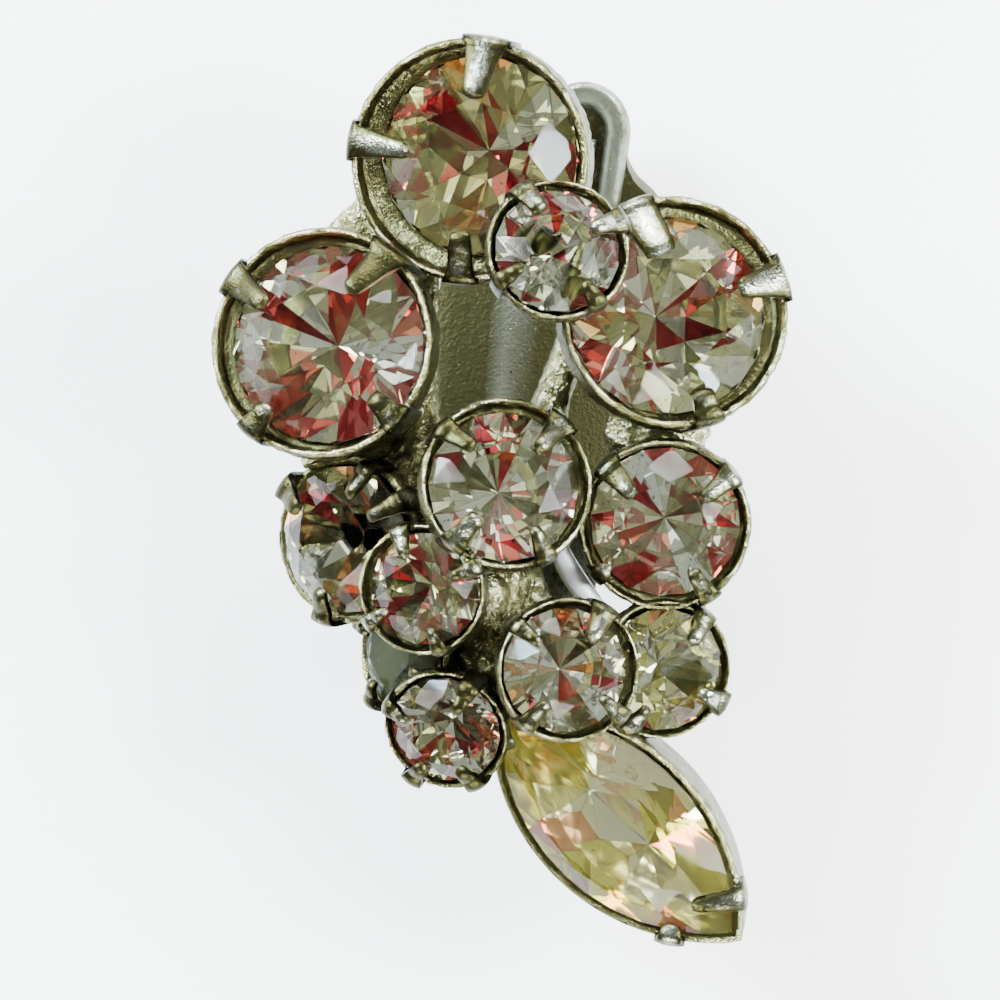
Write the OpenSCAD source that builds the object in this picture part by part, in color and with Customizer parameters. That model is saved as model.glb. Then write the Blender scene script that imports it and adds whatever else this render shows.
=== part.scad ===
// Clip on earring: a cluster of cut stones in soldered cups, with a hinged clip behind it.
// It lies face up on the back of its closed clip. Millimetres, +Z towards the viewer,
// +Y to the earring's top, and z = 0 at the back of the clip's paddle.

/* [Cluster] */
// Width of the cluster of stones
cluster_w = 24; // [20:0.5:30]
// Length of the cluster of stones
cluster_l = 38; // [34:0.5:46]
// Thickness of the pierced frame
frame_t = 1.2; // [0.9:0.1:1.8]
// Width of the frame's bars
bar_w = 1.7; // [1.2:0.1:2.2]

/* [Stones] */
// Diameter of the three large round stones
large_d = 8.4; // [7.6:0.1:9]
// Diameter of the three medium round stones
medium_d = 6.3; // [5.6:0.1:6.8]
// Diameter of the three small round stones
small_d = 5.2; // [4.8:0.1:5.6]
// Diameter of the three smallest round stones
tiny_d = 4.7; // [4.2:0.1:5]
// Length of the navette stone
navette_l = 13.4; // [12:0.1:15]
// Width of the navette stone
navette_w = 6.2; // [5.4:0.1:7]
// Clearance between a stone and the metal
stone_gap = 0.05; // [0.03:0.01:0.1]

/* [Cups and prongs] */
// Thickness of a large cup's wall at its rim, and in proportion on the smaller cups
cup_wall = 0.36; // [0.3:0.02:0.6]
// Gap between a large stone's edge and its cup's wall, in proportion on the smaller cups
cup_slack = 0.28; // [0.16:0.02:0.36]
// Height of a cup's rim above the stone's widest edge
cup_lip = 0.4; // [0.2:0.05:0.8]
// Thickness of a cup's floor under the stone's point
cup_floor = 0.35; // [0.25:0.05:0.6]
// Thickness of a prong
prong_t = 0.4; // [0.3:0.05:0.6]
// How far a prong stands proud of its cup's wall
prong_proud = 0.14; // [0.06:0.02:0.2]

/* [Clip] */
// Thickness of the clip's sheet metal
clip_t = 0.9; // [0.7:0.05:1.2]
// Space for the ear lobe, between the closed paddle and the fixed plate
ear_gap = 5.2; // [4.8:0.1:6.5]
// Turn of the clip behind the cluster, clockwise as seen from the front
clip_turn = 7; // [0:1:12]
// Width of the paddle at its belly
paddle_w = 11; // [9:0.2:12]
// Length of the paddle from its hinge to its tip
paddle_l = 23.8; // [22:0.2:26]
// Width of the raised rim at the paddle's tip
tip_w = 4.2; // [3.8:0.1:5]
// Width of the raised rim's band
rim_band = 1.18; // [0.9:0.02:1.3]
// Height of the raised rim above the sheet
rim_rise = 0.7; // [0.4:0.05:1]
// Width of the paddle's neck at the hinge
neck_w = 3.7; // [3:0.1:4.4]
// Length of the fixed plate above the hinge
plate_l = 6.5; // [5:0.5:9]
// Diameter of the hinge pin
pin_d = 1.2; // [1:0.05:1.4]
// Clearance round the pin
pin_gap = 0.04; // [0.02:0.01:0.08]
// Clearance between the neck and each ear
side_gap = 0.1; // [0.05:0.01:0.2]
// Thickness of a hinge ear
ear_t = 0.8; // [0.6:0.05:1.1]

/* [Hidden] */
$fn = 64;
ROUND_STONES = ["stone_top", "stone_left", "stone_right",
                "stone_centre", "stone_mid_left", "stone_mid_right",
                "stone_bridge", "stone_low_left", "stone_low_mid",
                "stone_low_right", "stone_foot", "stone_back_left"];

SILVER = [0.66, 0.67, 0.60];
CRYSTAL = [0.72, 0.71, 0.64];
JONQUIL = [0.80, 0.79, 0.52];

// Proportions of a round stone, as shares of its radius
TABLE = 0.56;
CROWN = 0.32;
PAVILION = 0.85;
EDGE = 0.06;

// Proportions of a prong, as shares of the stone's radius: half-widths at its base and tip,
// how far out its tip stays, and how deep it runs down the cup
PRONG_BASE = 0.25;
PRONG_TIP = 0.12;
PRONG_REACH = 0.62;
PRONG_FOOT = 0.3;

// Proportions of a cup below the stone, as shares of its radius: the radius of its foot, and
// the depth of its straight wall
CUP_FOOT = 0.42;
CUP_BODY = 0.16;

// Heights, worked up from the surface that the clip rests on
plate_z = clip_t + ear_gap;
frame_z = plate_z + clip_t;
sunk = 0.3;

// Round stones. x and y are shares of the cluster's width and length, from its middle. lift
// is the height of the stone's edge over the frame's front, as a share of large_d. lean is
// the angle from straight up, towards the azimuth way. clock turns the four prongs. lip is
// the height of the cup's rim, as a share of cup_lip. ease is the gap round the stone, as a
// share of cup_slack, and shift moves the cup towards way, as a share of that gap.
//        size       x        y     lift   way  lean  clock   lip  ease  shift
STONES = [
    [large_d,  -0.036,  0.376,  0.36,  205,  13,   92,   1.6,  1.9,   0.8],
    [large_d,  -0.300,  0.168,  0.35,  165,  16,  140,   1.4,  1.1,   0.8],
    [large_d,   0.290,  0.200,  0.37,   25,  12,  112,   1.4,  1.2,   0.9],
    [medium_d,  0.004,  0.011,  0.55,   45,  14,  134,   1.0,  1.0,   0.8],
    [medium_d, -0.274, -0.047,  0.10,  187,  32,  150,  -0.3,  1.0,   0.0],
    [medium_d,  0.287, -0.027,  0.33,  260,   7,  130,   0.8,  1.0,   0.6],
    [small_d,   0.096,  0.266,  0.67,   60,  14,  122,   0.6,  1.0,   0.4],
    [tiny_d,   -0.130, -0.100,  0.53,  190,  16,  102,   0.8,  1.2,   0.8],
    [small_d,   0.110, -0.189,  0.50,    0,  10,   56,   0.8,  1.2,   0.8],
    [small_d,   0.284, -0.191,  0.23,  330,  16,   60,   0.4,  1.0,   0.0],
    [tiny_d,   -0.096, -0.257,  0.29,  235,  26,   62,   0.4,  1.0,   0.0],
    [tiny_d,   -0.172, -0.172,  0.06,  175,  46,   60,   0.2,  1.0,   0.0],
];
function size(s) = s[0];
function place(s) = [s[1] * cluster_w, s[2] * cluster_l];
function lift(s) = frame_z + frame_t + s[3] * large_d;
function way(s) = s[4];
function lean(s) = s[5];
function clock(s) = s[6];
function lip(s) = s[7] * cup_lip;
function wall(s) = cup_wall * size(s) / large_d;
function slack(s) = s[8] * cup_slack * size(s) / large_d;
function shift(s) =
    min(s[9] * slack(s), slack(s) - 1.5 * stone_gap) * [cos(way(s)), sin(way(s))];

// The navette in the same columns, the angle of its long axis, and its prongs: place along it
// as a share of half its length, side, and reach over the stone as a share of half its width
NAVETTE = [navette_w, 0.203, -0.363, 0.20, 225, 10, 0, 0.5, 1, 0];
NAVETTE_TURN = -43;
NAVETTE_PRONGS = [[0.76, 1, 0.5], [0.68, -1, 0.16], [-0.86, 1, 0.2], [-0.86, -1, 0.2]];

// Bars of the frame, from point to point, as shares of the cluster's width and length, with
// their widths as shares of bar_w and their heights as shares of frame_t
//        x1      y1      x2      y2    width  height
BARS = [
    [-0.06,  0.36,  -0.28,   0.18,   1.7,   2.6],
    [-0.15,  0.30,  -0.146,  0.01,   1.15,  2.3],
    [-0.04,  0.36,   0.10,   0.265,  1.4,   1.0],
    [ 0.10,  0.265,  0.29,   0.20,   1.4,   1.0],
    [ 0.15,  0.21,   0.06,   0.06,   0.9,   2.6],
    [-0.29,  0.17,  -0.15,   0.14,   1.0,   1.0],
    [-0.29,  0.17,  -0.22,  -0.03,   2.2,   1.9],
    [-0.22, -0.03,   0.01,   0.01,   1.5,   2.0],
    [ 0.01,  0.01,   0.285, -0.026,  0.9,   1.8],
    [ 0.27,  0.18,   0.285, -0.026,  2.6,   2.2],
    [ 0.31, -0.026,  0.29,  -0.185,  1.9,   1.6],
    [ 0.01,  0.01,  -0.12,  -0.10,   1.8,   2.0],
    [-0.12, -0.10,  -0.06,  -0.23,   1.8,   1.9],
    [-0.13, -0.10,  -0.10,  -0.17,   1.6,   1.6],
    [-0.01, -0.09,  -0.01,  -0.22,   2.0,   2.2],
    [ 0.01,  0.01,   0.085, -0.19,   0.9,   2.2],
    [ 0.10, -0.19,   0.25,  -0.185,  1.2,   1.6],
    [ 0.10, -0.19,  -0.06,  -0.23,   1.5,   1.9],
    [ 0.09, -0.20,   0.19,  -0.34,   1.8,   1.0],
    [-0.23,  0.318, -0.285,  0.285,  0.95,  2.4],
];

// The clip stands at its hinge, given as shares of the cluster's width and length
HINGE = [0.040, -0.145];
KNUCKLE_WALL = 0.7;
hinge_r = pin_d / 2 + KNUCKLE_WALL;
hinge_z = plate_z - hinge_r - clip_t / 2;
plate_edge = 0.15;

// Points along an arc about c, from angle a to angle b
function arc(c, r, a, b, n) =
    [for (i = [0 : n]) c + r * [cos(a + (b - a) * i / n), sin(a + (b - a) * i / n)]];

function back(list) = [for (i = [len(list) - 1 : -1 : 0]) list[i]];

// Puts a stone's own frame in place: its widest edge at z = 0 and its table towards +Z
module stand(s) {
    translate([place(s)[0], place(s)[1], lift(s)])
        rotate([0, 0, way(s)]) rotate([0, lean(s), 0]) rotate([0, 0, -way(s)])
            children();
}

// A cut stone over an even ring of girdle points: a table, a ring of crown facets, a thin
// edge, and a pavilion that runs down to a point
module cut_stone(girdle, crown, pavilion, edge) {
    n = len(girdle);
    m = n / 2;
    up = [for (p = girdle) [p[0], p[1], edge / 2]];
    low = [for (p = girdle) [p[0], p[1], -edge / 2]];
    top = [for (k = [0 : m - 1])
        [TABLE * girdle[2 * k][0], TABLE * girdle[2 * k][1], edge / 2 + crown]];
    point = [[0, 0, -edge / 2 - pavilion]];
    table_face = [[for (k = [m - 1 : -1 : 0]) 2 * n + k]];
    star = [for (k = [0 : m - 1])
        [2 * n + k, 2 * n + (k + 1) % m, 2 * k + 1]];
    kite_left = [for (k = [0 : m - 1]) [2 * n + k, 2 * k + 1, 2 * k]];
    kite_right = [for (k = [0 : m - 1]) [2 * n + k, 2 * k, (2 * k + n - 1) % n]];
    edge_faces = [for (i = [0 : n - 1]) [i, (i + 1) % n, n + (i + 1) % n, n + i]];
    pavilion_faces = [for (i = [0 : n - 1]) [n + i, n + (i + 1) % n, 2 * n + m]];
    polyhedron(
        points = concat(up, low, top, point),
        faces = concat(table_face, star, kite_left, kite_right, edge_faces, pavilion_faces)
    );
}

function ring(r, n) = [for (i = [0 : n - 1]) r * [cos(360 * i / n), sin(360 * i / n)]];

module chaton(s) {
    r = size(s) / 2;
    color(CRYSTAL) stand(s) rotate([0, 0, clock(s)])
        cut_stone(ring(r, 16), CROWN * r, PAVILION * r, EDGE * r);
}

// The round shape that a stone sweeps, grown by the clearance, which the metal keeps out of
module chaton_room(s) {
    r = size(s) / 2;
    e = EDGE * r / 2 + stone_gap;
    stand(s) rotate_extrude() polygon([
        [0, -e - PAVILION * r - stone_gap],
        [r + stone_gap, -e],
        [r + stone_gap, e],
        [TABLE * r + stone_gap, e + CROWN * r],
        [0, e + CROWN * r],
    ]);
}

// A round cup, solid below the stone's widest edge until the stone's room is taken out of it
module cup(s) {
    r = size(s) / 2;
    inner = r + slack(s);
    outer = inner + wall(s);
    ledge = EDGE * r / 2 + 2 * stone_gap;
    point = ledge + PAVILION * r + stone_gap;
    stand(s) translate(shift(s)) rotate_extrude() polygon([
        [0, -point - cup_floor],
        [CUP_FOOT * r, -point - cup_floor],
        [outer, -CUP_BODY * r],
        [outer, lip(s)],
        [inner, lip(s)],
        [inner, -ledge - cup_lip / 4],
        [0, -ledge - cup_lip / 4],
    ]);
}

// Side view of a prong, out along X: up the cup's wall and over the stone's shoulder
module prong_side(s) {
    r = size(s) / 2;
    cup_r = r + slack(s) + wall(s);
    out = cup_r + prong_proud;
    root = cup_r - wall(s) / 2;
    tip = PRONG_REACH * r;
    shoulder = EDGE * r / 2 + CROWN * r * (1 - PRONG_REACH) / (1 - TABLE);
    polygon([
        [out, -PRONG_FOOT * r],
        [out, cup_lip + prong_t / 2],
        [out - prong_t, cup_lip + 1.4 * prong_t],
        [tip, shoulder + prong_t],
        [tip, shoulder],
        [r, 0],
        [root, 0],
        [root, -PRONG_FOOT * r],
    ]);
}

// Plan of a prong: it narrows towards a tip with its corners taken off
module prong_plan(s) {
    r = size(s) / 2;
    out = r + slack(s) + wall(s) + 2 * prong_proud;
    tip = PRONG_REACH * r - 0.01;
    corner = tip + 0.7 * PRONG_TIP * r;
    polygon([
        [tip, -0.5 * PRONG_TIP * r],
        [corner, -PRONG_TIP * r],
        [out, -PRONG_BASE * r],
        [out, PRONG_BASE * r],
        [corner, PRONG_TIP * r],
        [tip, 0.5 * PRONG_TIP * r],
    ]);
}

module prongs(s) {
    r = size(s) / 2;
    stand(s) translate(shift(s)) for (k = [0 : 3]) rotate([0, 0, clock(s) + 90 * k])
        intersection() {
            rotate([90, 0, 0]) linear_extrude(r, center = true) prong_side(s);
            translate([0, 0, -r]) linear_extrude(2 * r) prong_plan(s);
        }
}

// A straight bar of the frame, which runs on past both its points by half its width
module bar(b) {
    from = [b[0] * cluster_w, b[1] * cluster_l];
    to = [b[2] * cluster_w, b[3] * cluster_l];
    w = b[4] * bar_w;
    run = to - from;
    translate([from[0], from[1], frame_z]) rotate([0, 0, atan2(run[1], run[0])])
        translate([-w / 2, -w / 2, 0]) cube([norm(run) + w, w, b[5] * frame_t]);
}

// Cups with a lift over this share stand on a foot, and the others on the frame itself. A
// foot's radius, and how far up the pavilion it meets the cup, as shares
RAISED = 0.4;
FOOT_R = 0.5;
FOOT_TOP = 0.9;

// A metal foot from the frame's back up into the cup's floor
module foot(s) {
    r = size(s) / 2;
    reach = FOOT_TOP * PAVILION * r;
    sink = reach * sin(lean(s));
    at = place(s) - sink * [cos(way(s)), sin(way(s))];
    top = lift(s) - reach * cos(lean(s));
    translate([at[0], at[1], frame_z]) cylinder(r = FOOT_R * r, h = top - frame_z);
}

// A lens between two arcs, with its points on the X axis
module lens(l, w) {
    r = (l * l + w * w) / (4 * w);
    intersection() {
        translate([0, w / 2 - r]) circle(r, $fn = 128);
        translate([0, r - w / 2]) circle(r, $fn = 128);
    }
}

// Girdle points of the navette: n points on each arc, tip to tip
function lens_ring(l, w, n) =
    let (r = (l * l + w * w) / (4 * w), half = asin(l / 2 / r))
    concat(
        [for (i = [0 : n - 1]) let (a = 90 - half + 2 * half * i / n)
            [r * cos(a), r * sin(a) + w / 2 - r]],
        [for (i = [0 : n - 1]) let (a = 270 - half + 2 * half * i / n)
            [r * cos(a), r * sin(a) + r - w / 2]]
    );

// The navette's thin edge in millimetres, and its crown, its pavilion, its cup's depth and
// its prongs' width as shares of navette_w. NAV_OPEN is the open plan under its ledge.
NAV_EDGE = 0.3;
NAV_CROWN = 0.17;
NAV_PAVILION = 0.42;
NAV_DEEP = 0.45;
NAV_PRONG = 0.2;
NAV_OPEN = 0.92;
NAV_POINTS = 10;
NAV_SLOPE = 0.6;
nav_slack = 0.12;
nav_deep = NAV_DEEP * navette_w;

module navette_stone() {
    color(JONQUIL) stand(NAVETTE) rotate([0, 0, NAVETTE_TURN])
        cut_stone(lens_ring(navette_l, navette_w, NAV_POINTS),
                  NAV_CROWN * navette_w, NAV_PAVILION * navette_w, NAV_EDGE);
}

// The navette's cup: a straight wall of lens plan with a ledge under the stone's edge
module navette_cup() {
    grow = 2 * (nav_slack + cup_wall);
    ledge = NAV_EDGE / 2 + 2 * stone_gap;
    stand(NAVETTE) rotate([0, 0, NAVETTE_TURN]) difference() {
        translate([0, 0, -nav_deep]) linear_extrude(nav_deep + lip(NAVETTE))
            lens(navette_l + 1.3 * grow, navette_w + grow);
        translate([0, 0, -ledge]) linear_extrude(nav_deep)
            lens(navette_l + 2.4 * nav_slack, navette_w + 2 * nav_slack);
        translate([0, 0, -nav_deep - 1]) linear_extrude(nav_deep + 2)
            lens(NAV_OPEN * navette_l, NAV_OPEN * navette_w);
    }
}

// Prongs that fold over the navette's edge, square to its outline
module navette_prongs() {
    w = navette_w / 2;
    l = navette_l / 2;
    r = (l * l + w * w) / (2 * w);
    out = nav_slack + cup_wall + prong_proud;
    stand(NAVETTE) rotate([0, 0, NAVETTE_TURN])
        for (p = NAVETTE_PRONGS) {
            a = asin(p[0] * l / r);
            reach = p[2] * w;
            rise = NAV_EDGE / 2 + NAV_CROWN * navette_w * NAV_SLOPE * p[2];
            translate([0, p[1] * (w - r), 0]) rotate([0, 0, p[1] * (90 - a)])
                translate([r, 0, 0]) rotate([90, 0, 0])
                    linear_extrude(NAV_PRONG * navette_w, center = true) polygon([
                        [out, -nav_deep / 2],
                        [out, NAV_EDGE / 2 + prong_t],
                        [out - prong_t / 2, NAV_EDGE / 2 + 1.6 * prong_t],
                        [-reach + prong_t / 3, rise + 1.4 * prong_t],
                        [-reach, rise + 0.9 * prong_t],
                        [-reach, rise - prong_t / 2],
                        [0, 0],
                        [nav_slack + cup_wall / 3, 0],
                        [nav_slack + cup_wall / 3, -nav_deep / 2],
                    ]);
        }
}

// The room that the navette needs in the metal over it: its edge and its crown, grown by the
// clearance
module navette_room() {
    stand(NAVETTE) rotate([0, 0, NAVETTE_TURN])
        cut_stone(lens_ring(navette_l + 4 * stone_gap, navette_w + 2 * stone_gap, NAV_POINTS),
                  NAV_CROWN * navette_w + stone_gap, NAV_PAVILION * navette_w + stone_gap,
                  NAV_EDGE + 2 * stone_gap);
}

// Puts the clip in place: its hinge line over the origin, and its length along +Y
module at_clip() {
    translate([HINGE[0] * cluster_w, HINGE[1] * cluster_l, 0]) rotate([0, 0, -clip_turn])
        children();
}

ear_in = neck_w / 2 + side_gap;
ear_out = ear_in + ear_t;

// The clip's fixed plate, soldered under the frame, and its two ears bored for the pin
module fixed_plate() {
    at_clip() {
        translate([-ear_out - plate_edge, -hinge_r - plate_edge, plate_z])
            cube([2 * (ear_out + plate_edge), plate_l + hinge_r, clip_t + sunk]);
        for (side = [-1, 1]) translate([side * (ear_in + ear_out) / 2, 0, 0])
            rotate([90, 0, 90]) linear_extrude(ear_t, center = true) {
                translate([0, hinge_z]) circle(hinge_r);
                translate([-0.9 * hinge_r, hinge_z])
                    square([1.8 * hinge_r, plate_z + sunk - hinge_z]);
            }
    }
}

module pin_bore(r) {
    at_clip() translate([-ear_out - 1, 0, hinge_z]) rotate([0, 90, 0])
        cylinder(r = r, h = 2 * ear_out + 2);
}

module setting() {
    color(SILVER) difference() {
        union() {
            for (b = BARS) bar(b);
            fixed_plate();
            for (s = STONES) {
                cup(s);
                prongs(s);
            }
            for (s = STONES) if (s[3] > RAISED) foot(s);
            navette_cup();
            navette_prongs();
        }
        for (s = STONES) chaton_room(s);
        navette_room();
        pin_bore(pin_d / 2 + pin_gap / 2);
    }
}

// Where the paddle's flat run ends and its tip starts to rise, as shares of its length, and
// the bends of its sheet: at the arm, and at the rise
RISE_FROM = 0.66;
RISE_TURN = 34;
RISE_R = 8;
ARM_R = 2.6;

// The paddle's outline. share of its length, and half-width as a share of paddle_w
OUTLINE = [
    [0.07, 0.168], [0.11, 0.20], [0.15, 0.26], [0.20, 0.34], [0.26, 0.40], [0.34, 0.445],
    [0.44, 0.475], [0.55, 0.495], [0.64, 0.50], [0.70, 0.49], [0.76, 0.45], [0.80, 0.385],
    [0.83, 0.315], [0.855, 0.235], [0.88, 0.195],
];

// Where the raised rim and the tongue inside it begin, as shares of the paddle's length
RIM_FROM = 0.75;
TONGUE = [0.77, 0.13];
TONGUE_W = 1.3;
TONGUE_RISE = 0.35;

// One face of the bent sheet, at a given thickness over its back, as seen from the side: the
// arm down from the hinge, the flat run and the rise to the tip. X runs along the clip and Y
// away from the surface that it rests on.
function sheet_line(t) =
    let (to = RISE_FROM * paddle_l, turned = 270 + RISE_TURN, run = [cos(RISE_TURN), sin(RISE_TURN)])
    concat(
        [[t - hinge_r, hinge_z]],
        arc([ARM_R - hinge_r, ARM_R], ARM_R - t, 180, 270, 8),
        arc([to, RISE_R], RISE_R - t, 270, turned, 6),
        [[to, RISE_R] + (RISE_R - t) * [cos(turned), sin(turned)] + paddle_l / 3 * run]
    );

// A slice of the bent sheet, wider than the paddle
module sheet(t) {
    rotate([90, 0, 90]) linear_extrude(paddle_w + 2, center = true)
        polygon(concat(sheet_line(0), back(sheet_line(t))));
}

// Plan of the paddle: neck, waist, belly and rounded tip
module paddle_plan() {
    tip = arc([0, paddle_l - tip_w / 2], tip_w / 2, 30, 150, 16);
    right = [for (p = OUTLINE) [p[1] * paddle_w, p[0] * paddle_l]];
    left = [for (p = back(right)) [-p[0], p[1]]];
    heel = [[-neck_w / 2, -2 * hinge_r], [neck_w / 2, -2 * hinge_r]];
    polygon(concat(heel, right, tip, left));
}

// Plan of the raised rim: a bent band, open towards the hinge
module rim_plan() {
    tip = [0, paddle_l - tip_w / 2];
    foot_y = RIM_FROM * paddle_l;
    outer = tip_w / 2;
    inner = outer - rim_band;
    polygon(concat(
        [[outer, foot_y]], arc(tip, outer, 0, 180, 24), [[-outer, foot_y]],
        [[-inner, foot_y]], arc(tip, inner, 180, 0, 16), [[inner, foot_y]]
    ));
}

module clip_paddle() {
    high = 2 * ear_gap + 2 * clip_t;
    color(SILVER) at_clip() difference() {
        union() {
            intersection() {
                sheet(clip_t);
                linear_extrude(high) paddle_plan();
            }
            intersection() {
                sheet(clip_t + rim_rise);
                linear_extrude(high) rim_plan();
            }
            intersection() {
                sheet(clip_t + TONGUE_RISE);
                translate([-TONGUE_W / 2, TONGUE[0] * paddle_l, 0])
                    cube([TONGUE_W, TONGUE[1] * paddle_l, high]);
            }
            translate([-neck_w / 2, 0, hinge_z]) rotate([0, 90, 0])
                cylinder(r = hinge_r, h = neck_w);
        }
        translate([-neck_w, 0, hinge_z]) rotate([0, 90, 0])
            cylinder(r = pin_d / 2 + pin_gap, h = 2 * neck_w);
    }
}

// The pin, with a flattened head at each end
module hinge_pin() {
    head = pin_d / 3;
    reach = ear_out + stone_gap;
    color(SILVER) at_clip() translate([0, 0, hinge_z]) rotate([0, 90, 0]) {
        cylinder(r = pin_d / 2, h = 2 * reach, center = true);
        for (side = [-1, 1]) translate([0, 0, side * (reach + head / 2)])
            cylinder(r = 0.75 * pin_d, h = head, center = true);
    }
}

setting();
clip_paddle();
hinge_pin();
for (i = [0 : len(ROUND_STONES) - 1])
    chaton(STONES[i]);
navette_stone();  // stone_navette
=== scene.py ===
"""Clip on earring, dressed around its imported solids.

Cut stones with a foiled back sit in pronged cups on a soldered frame, with a hinged clip
behind them. Shapes are made in millimetres and scaled to metres as each piece is finished.
"""

import math
import random
from collections import namedtuple

import bmesh
import bpy
from mathutils import Matrix, Vector, noise


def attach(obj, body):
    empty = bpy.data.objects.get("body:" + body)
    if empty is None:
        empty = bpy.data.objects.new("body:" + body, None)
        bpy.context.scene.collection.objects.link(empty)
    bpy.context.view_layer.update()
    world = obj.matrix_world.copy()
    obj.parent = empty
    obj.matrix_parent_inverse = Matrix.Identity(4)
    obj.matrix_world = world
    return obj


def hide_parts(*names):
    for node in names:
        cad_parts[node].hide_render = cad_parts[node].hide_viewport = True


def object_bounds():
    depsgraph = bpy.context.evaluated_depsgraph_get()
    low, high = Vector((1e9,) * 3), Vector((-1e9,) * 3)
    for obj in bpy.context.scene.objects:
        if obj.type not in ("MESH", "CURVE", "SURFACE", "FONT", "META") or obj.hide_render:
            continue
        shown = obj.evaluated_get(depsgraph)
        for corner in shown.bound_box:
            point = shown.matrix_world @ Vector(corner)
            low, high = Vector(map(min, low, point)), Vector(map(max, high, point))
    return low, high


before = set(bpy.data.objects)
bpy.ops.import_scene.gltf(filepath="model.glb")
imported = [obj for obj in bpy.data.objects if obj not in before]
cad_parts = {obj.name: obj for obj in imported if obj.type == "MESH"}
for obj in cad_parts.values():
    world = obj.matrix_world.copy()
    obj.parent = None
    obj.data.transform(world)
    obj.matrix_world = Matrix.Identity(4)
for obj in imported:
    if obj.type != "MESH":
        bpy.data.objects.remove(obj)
CAD_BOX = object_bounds()

bl_info = {
    "name": "Cluster clip earring",
    "version": (1, 0, 0),
    "blender": (4, 5, 0),
    "location": "View3D > Sidebar > Earring",
    "description": "Cut stones, pronged cups, soldered frame and hinged clip",
    "category": "Object",
}

MM = 0.001
LARGE, MEDIUM, SMALL, TINY = 8.4, 6.3, 5.2, 4.7
FRAME_Z, FRAME_T = 7.0, 1.2
GAP = 0.05

# A round stone's cut, as shares of its radius, and the width of the dark seams on its foil
TABLE, CROWN, PAVILION, EDGE = 0.56, 0.32, 0.85, 0.06
BREAK_R, BREAK_Z = 0.80, 0.545
SEAM_W = 0.014

# A round cup's pocket: its radius at the mouth and at the point, as shares of the stone's, and
# the height of its mouth
MOUTH_R, POINT_R, MOUTH_Z = 0.955, 0.22, -0.26

# Sheet of the largest cup and of the prongs, how far the frame stays under a pocket's point, a
# hair by which a piece stays inside its solid, and the size of the frame's voxels
CUP_WALL, PRONG_T, FLOOR_T, HAIR, VOXEL = 0.36, 0.34, 0.17, 0.01, 0.17

# Round stones: name, size, x, y, height of the edge over the frame, the azimuth and angle of
# its lean, turn of the facets, height of the rim, gap round the stone and shift of the cup
Stone = namedtuple("Stone", "name size x y lift way lean turn lip slack shift")
STONES = [Stone(*row) for row in (
    ("stone_top", LARGE, -0.864, 14.288, 3.024, 205, 13, 92, 0.64, 0.532, 0.426),
    ("stone_left", LARGE, -7.200, 6.384, 2.940, 165, 16, 140, 0.56, 0.308, 0.233),
    ("stone_right", LARGE, 6.960, 7.600, 3.108, 25, 12, 112, 0.56, 0.336, 0.261),
    ("stone_centre", MEDIUM, 0.096, 0.418, 4.620, 45, 14, 134, 0.40, 0.210, 0.135),
    ("stone_mid_left", MEDIUM, -6.576, -1.786, 0.840, 187, 32, 150, -0.12, 0.210, 0.0),
    ("stone_mid_right", MEDIUM, 6.888, -1.026, 2.772, 260, 7, 130, 0.32, 0.210, 0.126),
    ("stone_bridge", SMALL, 2.304, 10.108, 5.628, 60, 14, 122, 0.24, 0.173, 0.069),
    ("stone_low_left", TINY, -3.120, -3.800, 4.452, 190, 16, 102, 0.32, 0.188, 0.113),
    ("stone_low_mid", SMALL, 2.640, -7.182, 4.200, 0, 10, 56, 0.32, 0.208, 0.133),
    ("stone_low_right", SMALL, 6.816, -7.258, 1.932, 330, 16, 60, 0.16, 0.173, 0.0),
    ("stone_foot", TINY, -2.304, -9.766, 2.436, 235, 26, 62, 0.16, 0.157, 0.0),
    ("stone_back_left", TINY, -4.128, -6.536, 0.504, 175, 46, 60, 0.08, 0.157, 0.0),
)]

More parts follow.
